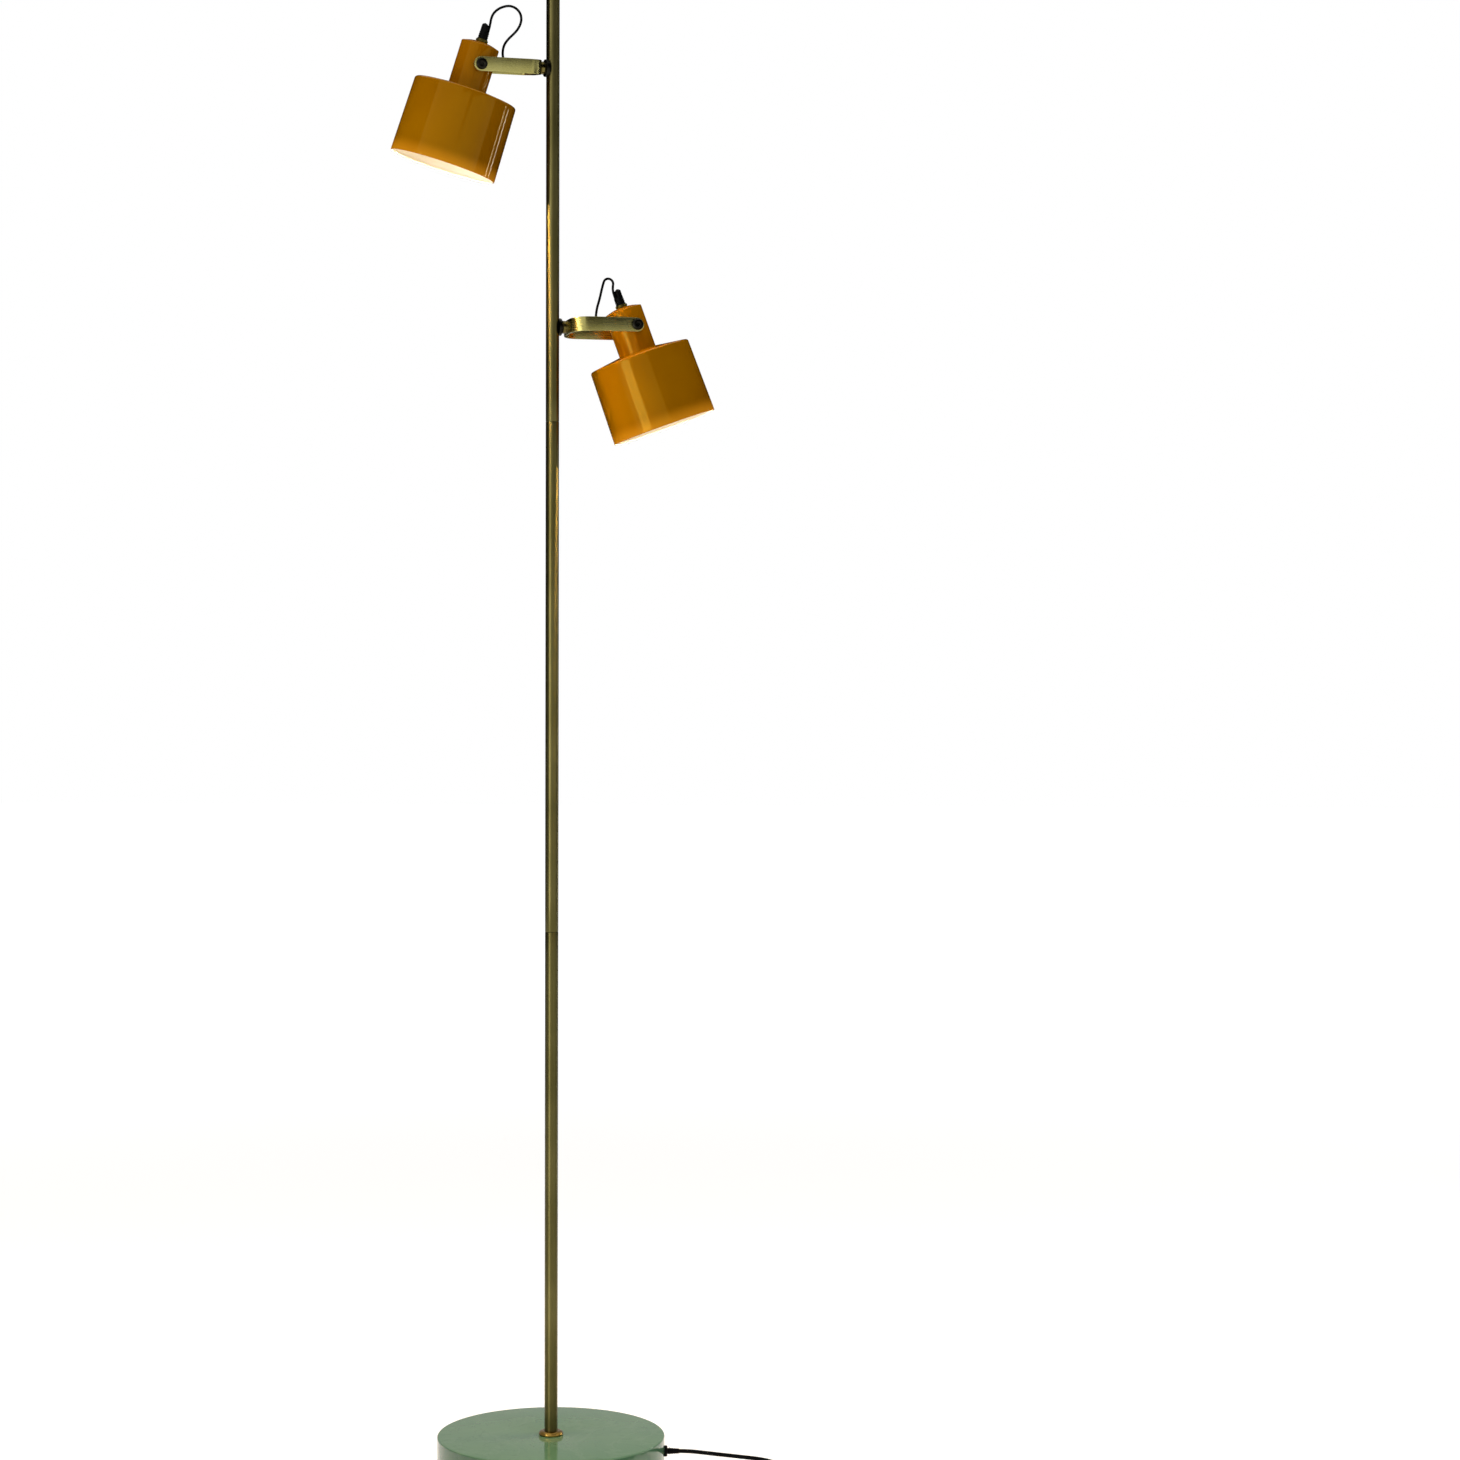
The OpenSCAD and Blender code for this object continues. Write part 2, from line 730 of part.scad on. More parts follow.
module pivot_bosses(head) color("black")
on_pin(head) difference() {
    both_pins() union() {
        difference() {
            post(boss_flange_d, neck_r - 3, arm_in - slide);
            along_y() post(neck_d + 2 * eps, -neck_d, neck_d);
        }
        post(boss_d, boss_in, arm_in - slide);
    }
    both_pins() post(pivot_d + 2 * fit, 0, yoke_w);
}

// The space inside the neck's outer surface, drawn in by the sheet's thickness
module neck_solid(inset) {
    intersection() {
        post(neck_d - 2 * inset, -neck_down - 2 * inset, dome_top);
        translate([0, 0, dome_z]) sphere(dome_r - inset);
    }
}

module neck(head) color("peru")
on_pin(head) difference() {
    neck_solid(0);
    neck_solid(sheet);
    post(holder_stem_d + 2 * fit, 0, dome_top + 1);
    both_pins() post(boss_d + 2 * fit, 0, neck_d);
}

module shade(head) color("darkgoldenrod")
on_pin(head) rotate_extrude() polygon([
    [skirt_d / 2 + fit, -neck_down],
    [neck_r, -neck_down],
    [shade_top_d / 2, shoulder_z],
    [shade_mouth_d / 2, mouth_z],
    [shade_mouth_d / 2 - sheet, mouth_z],
    [shade_top_d / 2 - sheet, shoulder_z - sheet],
    [neck_r, -neck_down - sheet],
    [skirt_d / 2 + fit, -neck_down - sheet]
]);

module shade_ring(head) color("white")
on_pin(head) tube(ring_d, skirt_d + 2 * fit, ring_top - ring_h, ring_top);

module lamp_holder(head) color("black")
on_pin(head) difference() {
    union() {
        post(skirt_d, skirt_end, skirt_top);
        post(holder_d, skirt_top - eps, holder_top);
        post(collar_in_d, holder_top - eps, collar_in_z);
        post(holder_stem_d, holder_top, stem_top);
    }
    post(socket_d, skirt_end - 1, socket_top);
    post(stem_bore_d, 0, stem_top + 1);
}

module grip_nut(head) color("olive")
on_pin(head) tube(grip_nut_d, holder_stem_d + 2 * fit, dome_top, dome_top + grip_nut_h);

module cord_grip(head) color("black")
on_pin(head) difference() {
    union() {
        post(grip_d - 2 * grip_rib, grip_z, grip_top);
        for (i = [0 : grip_ribs - 1]) {
            z = grip_z + i * grip_h / (grip_ribs - 0.5);
            post(grip_d, z, z + grip_h / (2 * grip_ribs - 1));
        }
        intersection() {
            post(grip_d - 2 * grip_rib, grip_z, grip_top + tongue_h);
            translate([tongue_x, -grip_d, grip_z]) cube([grip_d, 2 * grip_d, grip_h + tongue_h]);
            translate([tongue_x + 3, 0, 0]) union() {
                post(grip_d, grip_z, grip_top + tongue_h - 3);
                translate([0, 0, grip_top + tongue_h - 3 - grip_d / 5]) sphere(r = grip_d / 2);
            }
        }
    }
    post(holder_stem_d + 2 * fit, grip_z - 1, grip_z + grip_thread_h);
    translate([grip_hole_x, 0, 0]) post(lead_d + 4 * fit, grip_z, grip_top + 1);
}

module bulb_cap(head) color("silver")
on_pin(head) {
    post(bulb_cap_d, cap_end, cap_top - cap_tip_h);
    post(cap_tip_d, cap_end, cap_top);
    post(glass_neck_d, cap_end, skirt_end - loose);
}

// The globe and the cone that joins it to the cap
module bulb_solid(inset) {
    join = bulb_d / 2 - inset;
    translate([0, 0, globe_z]) sphere(join);
    rotate_extrude() polygon([
        [0, globe_z],
        [join * sin(globe_join), globe_z + join * cos(globe_join)],
        [glass_neck_d / 2 - inset, cap_end + inset],
        [0, cap_end + inset]
    ]);
}

module bulb_glass(head) color("ivory")
on_pin(head) difference() {
    intersection() {
        bulb_solid(0);
        post(bulb_d + 1, cap_end - bulb_l - 1, cap_end);
    }
    bulb_solid(glass_t);
}

// The cord leaves the grip beside its tongue and ends in the stud, where the pole's lead starts
function from_pin(head, x, z) = [
    reach + x * cos(head[3]) - z * sin(head[3]),
    x * sin(head[3]) + z * cos(head[3])
];

module head_cord(head, start, loop) color("black")
on_arm(head) cord(
    [
        for (p = concat(
            [for (q = concat(
                [[grip_hole_x, grip_top - 1.5], [grip_hole_x, grip_top + 1.4]], start
            )) from_pin(head, q[0], q[1])],
            [for (q = loop) [lead_end + q[0] * (reach - lead_end), q[1]]],
            [[lead_end, 0]]
        )) [p[0], 0, p[1]]
    ],
    lead_d, 8
);

// ---- Mains cord ----

module coil_tie() color("dimgray")
translate([coil_centre[0] - tie_w / 2, coil_centre[1], 0]) {
    inner = coil_in_r - mains_r - tie_gap - 1;
    outer = coil_r + mains_r + tie_gap;
    high = coil_z + coil_step * (coil_layers - 1) + mains_r + tie_gap;
    difference() {
        translate([0, inner - tie_t, 0]) cube([tie_w, outer - inner + 2 * tie_t, high + tie_t]);
        translate([-1, inner, tie_t]) cube([tie_w + 2, outer - inner, high - tie_t]);
    }
}

module at_switch() {
    translate([switch_pos[0], switch_pos[1], 0]) children();
}

shell = 2;
button_flange = 1.5;
button_proud = 3.5;
switch_top = switch_low + switch_high;
flange_z = switch_top - shell - slide - button_flange;

module switch_base() color("black")
at_switch() difference() {
    union() {
        slot_plate(switch_l, switch_w, switch_low);
        for (s = [0, 180]) rotate([0, 0, s])
            translate([0, switch_l / 2 - shell, switch_sleeve_z]) along_y()
                cylinder(r1 = switch_sleeve_z, d2 = relief_tip_d, h = switch_sleeve_l + shell);
    }
    translate([0, 0, shell]) slot_plate(switch_l - 2 * shell, switch_w - 2 * shell, switch_low);
}

module switch_cover() color("black")
at_switch() difference() {
    translate([0, 0, switch_low]) slot_plate(switch_l, switch_w, switch_high);
    translate([0, 0, switch_low - 1])
        slot_plate(switch_l - 2 * shell, switch_w - 2 * shell, switch_high - shell + 1);
    for (s = [0, 180]) rotate([0, 0, s])
        translate([0, switch_l / 2 - 2 * shell, switch_sleeve_z]) along_y()
            cylinder(r = switch_sleeve_z + fit, h = switch_sleeve_l);
    post(button_d + 2 * slide, switch_low, switch_top + 1);
}

module switch_button() color("dimgray")
at_switch() {
    post(button_d + 3, flange_z, flange_z + button_flange);
    translate([0, 0, flange_z]) soft_disc(button_d, switch_top + button_proud - flange_z, 1);
}

module switch_core() color("white")
at_switch() translate([-8, -12, shell])
cube([16, 24, flange_z - button_travel - loose - shell]);

plug_l = 36;
plug_sleeve_l = 24;
plug_nose_w = 24;
pin_d = 4;
pin_l = 19;

module at_plug() {
    translate([plug_pos[0], plug_pos[1], plug_z]) rotate([0, 0, 180]) children();
}

module plug_body() color("black")
at_plug() difference() {
    union() {
        along_x() cylinder(d1 = relief_tip_d, d2 = plug_t * 0.7, h = plug_sleeve_l + 2);
        translate([plug_sleeve_l, 0, -plug_z]) linear_extrude(plug_t) polygon([
            [0, -plug_nose_w / 4], [plug_l / 3, -plug_w / 2], [plug_l, -plug_nose_w / 2],
            [plug_l, plug_nose_w / 2], [plug_l / 3, plug_w / 2], [0, plug_nose_w / 4]
        ]);
    }
    for (s = [-1, 1]) translate([0, s * pin_gap / 2, 0]) along_x()
        post(pin_d + 2 * fit, plug_sleeve_l + plug_l / 2, plug_sleeve_l + plug_l + 1);
}

module plug_pins() color("silver")
at_plug() for (s = [-1, 1]) translate([0, s * pin_gap / 2, 0]) along_x() {
    post(pin_d, plug_sleeve_l + plug_l / 2, plug_sleeve_l + plug_l + pin_l - pin_d / 2);
    translate([0, 0, plug_sleeve_l + plug_l + pin_l - pin_d / 2]) sphere(d = pin_d);
}

marble_base();
foot_pad();
base_cover();
base_screws();
base_nipple();
base_washer();
base_nut();
base_collar();
terminal_block();
cord_clip();
mains_relief();
mains_inner();
foot_insert();
pole_tube(0);  // pole_lower
pole_tube(1);  // pole_middle
pole_tube(2);  // pole_upper
pole_couplers();
pole_cap();
pole_leads();
cross_nuts();
saddle_washers();
swivel_studs();
stem_barrels();
stud_nuts();
yoke(upper);  // upper_yoke
pivot_screws(upper);  // upper_pivot_screws
pivot_bosses(upper);  // upper_pivot_bosses
neck(upper);  // upper_neck
shade(upper);  // upper_shade
shade_ring(upper);  // upper_shade_ring
lamp_holder(upper);  // upper_lamp_holder
grip_nut(upper);  // upper_grip_nut
cord_grip(upper);  // upper_cord_grip
bulb_cap(upper);  // upper_bulb_cap
bulb_glass(upper);  // upper_bulb_glass
head_cord(upper, upper_start, upper_loop);  // upper_head_cord
yoke(lower);  // lower_yoke
pivot_screws(lower);  // lower_pivot_screws
pivot_bosses(lower);  // lower_pivot_bosses
neck(lower);  // lower_neck
shade(lower);  // lower_shade
shade_ring(lower);  // lower_shade_ring
lamp_holder(lower);  // lower_lamp_holder
grip_nut(lower);  // lower_grip_nut
cord_grip(lower);  // lower_cord_grip
bulb_cap(lower);  // lower_bulb_cap
bulb_glass(lower);  // lower_bulb_glass
head_cord(lower, lower_start, lower_loop);  // lower_head_cord
color("black") cord(mains_route, mains_d, 10);  // mains_cord
color("black") cord(link_route, mains_d, 10);  // mains_link
color("black") cord(coil_path, mains_d, coil_sides);  // mains_coil
color("black") cord(tail_route, mains_d, 10);  // mains_tail
coil_tie();
switch_base();
switch_cover();
switch_button();
switch_core();
plug_body();
plug_pins();
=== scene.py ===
import json
import math

import bmesh
import bpy
from mathutils import Matrix, Vector

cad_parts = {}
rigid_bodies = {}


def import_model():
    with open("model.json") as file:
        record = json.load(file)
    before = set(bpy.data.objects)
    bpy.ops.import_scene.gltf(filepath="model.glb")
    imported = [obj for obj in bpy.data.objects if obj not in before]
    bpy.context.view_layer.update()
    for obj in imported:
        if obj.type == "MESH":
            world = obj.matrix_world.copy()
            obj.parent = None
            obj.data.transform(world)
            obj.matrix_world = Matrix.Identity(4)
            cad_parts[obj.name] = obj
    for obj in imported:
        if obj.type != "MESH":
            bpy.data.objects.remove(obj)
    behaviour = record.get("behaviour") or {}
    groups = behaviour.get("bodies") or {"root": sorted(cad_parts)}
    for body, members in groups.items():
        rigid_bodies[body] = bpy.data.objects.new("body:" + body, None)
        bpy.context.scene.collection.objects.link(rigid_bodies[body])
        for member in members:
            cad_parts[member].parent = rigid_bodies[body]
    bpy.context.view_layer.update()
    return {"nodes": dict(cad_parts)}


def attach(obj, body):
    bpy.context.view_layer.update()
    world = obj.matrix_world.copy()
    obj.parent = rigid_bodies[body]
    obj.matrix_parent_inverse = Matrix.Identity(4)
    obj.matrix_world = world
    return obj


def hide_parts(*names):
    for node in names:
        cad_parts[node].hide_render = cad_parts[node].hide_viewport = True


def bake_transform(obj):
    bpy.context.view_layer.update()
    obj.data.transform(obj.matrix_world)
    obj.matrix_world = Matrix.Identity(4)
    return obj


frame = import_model()
print("frame loaded")

mm = 0.001  # every size below is in millimetres, every mesh in metres
pi = math.pi
scene = bpy.context.scene
scene.view_settings.view_transform = "Standard"

# Camera

camera = {
    "place": (0.174495, -3.419087, 0.910432),
    "pitch": 2.9466,  # degrees below level
    "roll": 0.231,
    "lens": 86.124,
    "sensor": 36.0,
}

cameraData = bpy.data.cameras.new("camera")
cameraData.lens = camera["lens"]
cameraData.sensor_width = camera["sensor"]
cameraObject = bpy.data.objects.new("camera", cameraData)
scene.collection.objects.link(cameraObject)
cameraObject.matrix_world = (
    Matrix.Translation(camera["place"])
    @ Matrix.Rotation(math.radians(90 - camera["pitch"]), 4, "X")
    @ Matrix.Rotation(math.radians(camera["roll"]), 4, "Z")
)
scene.camera = cameraObject

# Node tools

mixFirst, mixSecond, mixResult = 6, 7, 2  # the colour sockets of a Mix node
socketKinds = {float: "Float", int: "Int", tuple: "Vector"}


def adjust(node, second=None, **values):
    # sets a node's settings and inputs; second is the other value of a Math node
    for key, value in values.items():
        if hasattr(node, key):
            setattr(node, key, value)
        else:
            node.inputs[key].default_value = value
    if second is not None:
        node.inputs[1].default_value = second
    return node


def addNode(tree, kind, second=None, **values):
    return adjust(tree.nodes.new(kind), second, **values)


def wire(tree, *steps):
    # each step is a node, its output, the next node and its input
    for start, output, end, entry in steps:
        tree.links.new(start.outputs[output], end.inputs[entry])


def colourMix(tree, first=None, second=None):
    # mixes two colours, either of them set here
    mix = addNode(tree, "ShaderNodeMix", data_type="RGBA")
    for entry, shade in ((mixFirst, first), (mixSecond, second)):
        if shade:
            mix.inputs[entry].default_value = shade
    return mix


def openTree(name, family, takes, gives):
    # a node tree with named sockets, each given by its kind or by its first value
    tree = bpy.data.node_groups.new(name, family)
    for way, sockets in (("INPUT", takes), ("OUTPUT", gives)):
        for label, value in sockets.items():
            kind = value if isinstance(value, str) else socketKinds[type(value)]
            socket = tree.interface.new_socket(label, in_out=way,
                                               socket_type="NodeSocket" + kind)
            if kind != value:
                socket.default_value = value
    return tree, tree.nodes.new("NodeGroupInput"), tree.nodes.new("NodeGroupOutput")


# Shared effects


def toneGroup():
    # two colours that drift into each other over the surface
    tree, source, sink = openTree(
        "toneDrift", "ShaderNodeTree",
        {"Vector": "Vector", "Scale": 10.0, "Detail": 3.0, "Low": 0.35, "High": 0.65,
         "First": "Color", "Second": "Color"},
        {"Color": "Color", "Mask": "Float"})
    noise = addNode(tree, "ShaderNodeTexNoise")
    spread = addNode(tree, "ShaderNodeMapRange")
    mix = colourMix(tree)
    wire(tree, (source, "Vector", noise, "Vector"), (source, "Scale", noise, "Scale"),
         (source, "Detail", noise, "Detail"), (noise, "Fac", spread, "Value"),
         (source, "Low", spread, "From Min"), (source, "High", spread, "From Max"),
         (spread, "Result", mix, "Factor"), (source, "First", mix, mixFirst),
         (source, "Second", mix, mixSecond), (mix, mixResult, sink, "Color"),
         (spread, "Result", sink, "Mask"))
    return tree


def grainGroup():
    # fine relief and a matching roughness, stretched by three scales for brushed and drawn metal
    tree, source, sink = openTree(
        "fineGrain", "ShaderNodeTree",
        {"Vector": "Vector", "Stretch": (1.0, 1.0, 1.0), "Scale": 500.0, "Detail": 2.0,
         "Smooth": 0.2, "Rough": 0.4},
        {"Height": "Float", "Roughness": "Float"})
    stretch = addNode(tree, "ShaderNodeVectorMath", operation="MULTIPLY")
    noise = addNode(tree, "ShaderNodeTexNoise")
    spread = addNode(tree, "ShaderNodeMapRange", **{"From Min": 0.3, "From Max": 0.7})
    wire(tree, (source, "Vector", stretch, 0), (source, "Stretch", stretch, 1),
         (stretch, "Vector", noise, "Vector"), (source, "Scale", noise, "Scale"),
         (source, "Detail", noise, "Detail"), (noise, "Fac", spread, "Value"),
         (source, "Smooth", spread, "To Min"), (source, "Rough", spread, "To Max"),
         (noise, "Fac", sink, "Height"), (spread, "Result", sink, "Roughness"))
    return tree


def veinGroup():
    # thin lines where a warped noise crosses its middle, as veins in stone
    tree, source, sink = openTree(
        "stoneVeins", "ShaderNodeTree",
        {"Vector": "Vector", "Scale": 10.0, "Warp": 1.0, "Width": 0.03}, {"Mask": "Float"})
    noise = addNode(tree, "ShaderNodeTexNoise", Detail=6.0, Roughness=0.55)
    middle = addNode(tree, "ShaderNodeMath", operation="SUBTRACT", second=0.5)
    size = addNode(tree, "ShaderNodeMath", operation="ABSOLUTE")
    fade = addNode(tree, "ShaderNodeMapRange", interpolation_type="SMOOTHSTEP",
                   **{"To Min": 1.0, "To Max": 0.0})
    wire(tree, (source, "Vector", noise, "Vector"), (source, "Scale", noise, "Scale"),
         (source, "Warp", noise, "Distortion"), (noise, "Fac", middle, 0),
         (middle, "Value", size, 0), (size, "Value", fade, "Value"),
         (source, "Width", fade, "From Max"), (fade, "Result", sink, "Mask"))
    return tree


toneTree = toneGroup()
grainTree = grainGroup()
veinTree = veinGroup()


def placeGroup(tree, group, place, **values):
    node = addNode(tree, "ShaderNodeGroup", node_tree=group)
    tree.links.new(place, node.inputs["Vector"])
    return adjust(node, **values)


# Finishes


def colour(red, green, blue):
    # a colour as it is seen on screen, 0 to 255, made linear
    return tuple(((v / 255 + 0.055) / 1.055) ** 2.4 if v > 10 else v / 255 / 12.92
                 for v in (red, green, blue)) + (1.0,)


def surface(name, tones, toneScale, smooth, rough, grainScale, relief=0.0, depth=0.0002,
            stretch=(1, 1, 1), metallic=0.0, specular=0.5, spread=(0.35, 0.65), toneDetail=3.0,
            grainDetail=2.0, uvName=None, brushed=0.0):
    # two drifting tones under a fine grain; gives the material and what more can join to
    made = bpy.data.materials.new(name)
    made.use_nodes = True
    tree = made.node_tree
    shader = adjust(tree.nodes["Principled BSDF"], Metallic=metallic,
                    **{"Specular IOR Level": specular})
    if uvName:
        place = addNode(tree, "ShaderNodeUVMap", uv_map=uvName).outputs["UV"]
        scratch = {"direction_type": "UV_MAP", "uv_map": uvName}
    else:
        place = addNode(tree, "ShaderNodeTexCoord").outputs["Object"]
        scratch = {"direction_type": "RADIAL", "axis": "Z"}
    first, second = (colour(*tone) if len(tone) == 3 else tone for tone in tones)
    tone = placeGroup(tree, toneTree, place, Scale=toneScale, Detail=toneDetail,
                      Low=spread[0], High=spread[1], First=first, Second=second)
    grain = placeGroup(tree, grainTree, place, Stretch=stretch, Scale=grainScale,
                       Detail=grainDetail, Smooth=smooth, Rough=rough)
    wire(tree, (tone, "Color", shader, "Base Color"), (grain, "Roughness", shader, "Roughness"))
    if relief:
        bump = addNode(tree, "ShaderNodeBump", Strength=relief, Distance=depth)
        wire(tree, (grain, "Height", bump, "Height"), (bump, "Normal", shader, "Normal"))
    if brushed:  # scratches round a tube or along a strip stretch each highlight across them
        adjust(shader, Anisotropic=brushed, **{"Anisotropic Rotation": 0.25})
        wire(tree, (addNode(tree, "ShaderNodeTangent", **scratch), "Tangent", shader, "Tangent"))
    return made, tree, shader, place, tone


enamel = {
    "shade": ((146, 93, 0), (135, 83, 0)),
    # the neck's copy of the same enamel, its tones lowered as painted shade for the yoke's shadow
    # on the neck
    "neck": ((154, 96, 0), (142, 86, 0)),
    "tint": (1.0, 0.7, 0.08, 1.0),
    "index": 1.4,
    # painted glow on the enamel's outside near the mouth: its colour, the height in mm over which
    # it fades out, and its strength
    "rimGlow": (1.0, 0.38, 0.02, 1.0),
    "rimReach": 15.0,
    "rimLevel": 0.26,
}


def enamelMaterial(name, tones, glows=False):
    # mustard enamel with orange peel; with glows, a painted warm glow lights the outside near the
    # rim
    made, tree, shader, place, tone = surface(name, tones, 14, 0.045, 0.07, 420, 0.006,
                                              depth=0.0001, toneDetail=2.0)
    adjust(shader, IOR=enamel["index"], **{"Specular Tint": enamel["tint"]})
    if glows:
        # painted glow: orange emission, full at the mouth and gone rimReach above it
        rim = addNode(tree, "ShaderNodeAttribute", attribute_name="overRim")
        fade = addNode(tree, "ShaderNodeMapRange", interpolation_type="SMOOTHSTEP",
                       **{"From Max": enamel["rimReach"] * mm, "To Min": 1.0, "To Max": 0.0})
        mix = colourMix(tree, (0, 0, 0, 1), enamel["rimGlow"])
        adjust(shader, **{"Emission Strength": enamel["rimLevel"]})
        wire(tree, (rim, "Fac", fade, "Value"), (fade, "Result", mix, "Factor"),
             (mix, mixResult, shader, "Emission Color"))
    return made


marble = {
    "ground": ((96, 132, 99), (81, 121, 89)),
    "veins": [
        # colour, share of it, scale, warp, width
        ((112, 140, 114), 0.2, 7.0, 1.4, 0.022),
        ((52, 90, 66), 0.24, 17.0, 2.2, 0.014),
    ],
}


def marbleMaterial():
    # sage marble: cloudy ground, pale veins, dark hair veins and a polished skin
    made, tree, shader, place, tone = surface(
        "sageMarble", marble["ground"], 9, 0.04, 0.08, 240, spread=(0.3, 0.7), toneDetail=5.0,
        grainDetail=4.0)
    last = tone.outputs["Color"]
    for shade, share, scale, warp, width in marble["veins"]:
        vein = placeGroup(tree, veinTree, place, Scale=scale, Warp=warp, Width=width)
        weight = addNode(tree, "ShaderNodeMath", operation="MULTIPLY", second=share)
        mix = colourMix(tree, second=colour(*shade))
        wire(tree, (vein, "Mask", weight, 0), (weight, "Value", mix, "Factor"))
        tree.links.new(last, mix.inputs[mixFirst])
        last = mix.outputs[mixResult]
    tree.links.new(last, shader.inputs["Base Color"])
    return made


opal = {"tones": ((1.0, 0.82, 0.56, 1.0), (1.0, 0.79, 0.51, 1.0)), "level": 1.8}


def opalMaterial():
    # opal glass, lit from within
    made, tree, shader, place, tone = surface("litOpal", opal["tones"], 30, 0.12, 0.2, 300)
    adjust(shader, **{"Emission Strength": opal["level"]})
    wire(tree, (tone, "Color", shader, "Emission Color"))
    return made


metal = {"metallic": 1.0}
plainFinishes = {
    # material, two tones, tone scale, smoothest, roughest, grain scale, relief, the rest
    "innerWhite": ("whiteEnamelInside", ((246, 240, 226), (238, 230, 212)), 25, 0.3, 0.42,
                   420, 0.05, {}),
    "poleBrass": ("agedPoleBrass", ((104, 97, 58), (80, 75, 40)), 9, 0.32, 0.38, 60, 0.0,
                  {**metal, "stretch": (8, 8, 1), "brushed": 0.85}),
    "collarBrass": ("collarBrass", ((168, 132, 62), (132, 102, 46)), 60, 0.14, 0.24, 500, 0.02,
                    {**metal, "stretch": (1, 1, 4)}),
    "armBrass": ("brushedArmBrass", ((178, 172, 108), (164, 156, 90)), 30, 0.24, 0.3, 60, 0.003,
                 {**metal, "depth": 0.0001, "stretch": (1, 20, 1), "uvName": "strip",
                  "brushed": 0.9}),
    "smallBrass": ("turnedBrass", ((124, 112, 62), (88, 78, 40)), 120, 0.18, 0.3, 900, 0.03,
                   metal),
    "oliveBrass": ("oliveNut", ((104, 94, 42), (78, 70, 32)), 160, 0.3, 0.42, 1400, 0.06, metal),
    "blackMetal": ("blackMetal", ((44, 42, 34), (26, 25, 21)), 140, 0.26, 0.4, 1500, 0.06,
                   metal),
    "blackPlastic": ("blackPlastic", ((6, 6, 6), (4, 4, 4)), 80, 0.36, 0.5, 1800, 0.1,
                     {"depth": 0.0001, "specular": 0.06}),
    "greyPlastic": ("greyPlastic", ((58, 58, 60), (44, 44, 46)), 80, 0.36, 0.5, 1800, 0.12,
                    {"depth": 0.0001, "specular": 0.4}),
    "whitePlastic": ("whitePlastic", ((236, 232, 222), (226, 220, 208)), 70, 0.32, 0.46, 900,
                     0.06, {"depth": 0.0001}),
    "cordSheath": ("cordSheath", ((6, 6, 6), (4, 4, 4)), 50, 0.4, 0.55, 1300, 0.08,
                   {"depth": 0.0001, "specular": 0.06}),
    "tieTape": ("tieTape", ((34, 34, 36), (20, 20, 22)), 300, 0.7, 0.9, 900, 0.5,
                {"depth": 0.0004, "stretch": (3, 1, 1), "specular": 0.2}),
    "footRubber": ("footRubber", ((40, 40, 41), (28, 28, 29)), 60, 0.7, 0.9, 700, 0.3,
                   {"depth": 0.0003, "specular": 0.25}),
    "coverSteel": ("coverSteel", ((52, 54, 55), (38, 40, 41)), 40, 0.4, 0.55, 900, 0.1,
                   {"metallic": 0.5}),
    "zinc": ("zincPlate", ((190, 190, 186), (160, 161, 158)), 90, 0.25, 0.42, 1100, 0.05, metal),
    "nickel": ("nickelPlate", ((216, 213, 204), (190, 186, 176)), 110, 0.12, 0.26, 1200, 0.04,
               metal),
}
finishes = {name: surface(*row, **rest)[0] for name, (*row, rest) in plainFinishes.items()}
finishes["shadeEnamel"] = enamelMaterial("mustardEnamel", enamel["shade"], glows=True)
# the neck's enamel has no rim glow, and painted shade for the yoke's shadow in its tones
finishes["neckEnamel"] = enamelMaterial("mustardEnamelNeck", enamel["neck"])
finishes["marble"] = marbleMaterial()
finishes["opal"] = opalMaterial()
print("finishes made:", len(finishes))

# Mesh tools


def skin(rings, loop=False, caps=True):
    # quads between rings of equal count; the ends close as one face each
    points = [p for ring in rings for p in ring]
    count = len(rings[0])
    faces, bands = [], []
    for i in range(len(rings) if loop else len(rings) - 1):
        j = (i + 1) % len(rings)
        for k in range(count):
            m = (k + 1) % count
            faces.append((i * count + k, i * count + m, j * count + m, j * count + k))
            bands.append(i)
    if caps and not loop:
        last = (len(rings) - 1) * count
        faces.append(tuple(range(count - 1, -1, -1)))
        faces.append(tuple(last + k for k in range(count)))
        bands += [0, len(rings) - 2]
    return points, faces, bands


def moved(part, move):
    points, faces, bands = part
    return [move @ p for p in points], faces, bands


def mend(mesh, place=Matrix()):
    # merges doubles, turns the faces outwards and puts the mesh in its place
    work = bmesh.new()
    work.from_mesh(mesh)
    bmesh.ops.remove_doubles(work, verts=work.verts, dist=1e-7)
    bmesh.ops.dissolve_degenerate(work, edges=work.edges, dist=1e-8)
    bmesh.ops.recalc_face_normals(work, faces=work.faces)
    work.transform(place)
    work.to_mesh(mesh)
    work.free()


def showMesh(name, mesh, smooth):
    mesh.shade_smooth()
    mesh.set_sharp_from_angle(angle=math.radians(smooth))
    made = bpy.data.objects.new(name, mesh)
    scene.collection.objects.link(made)
    return made


def settle(piece, body, nodes=()):
    # rides on its body and stands for its CAD nodes, which it hides
    if body:
        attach(piece, body)
    if nodes:
        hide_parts(*nodes)
    return piece


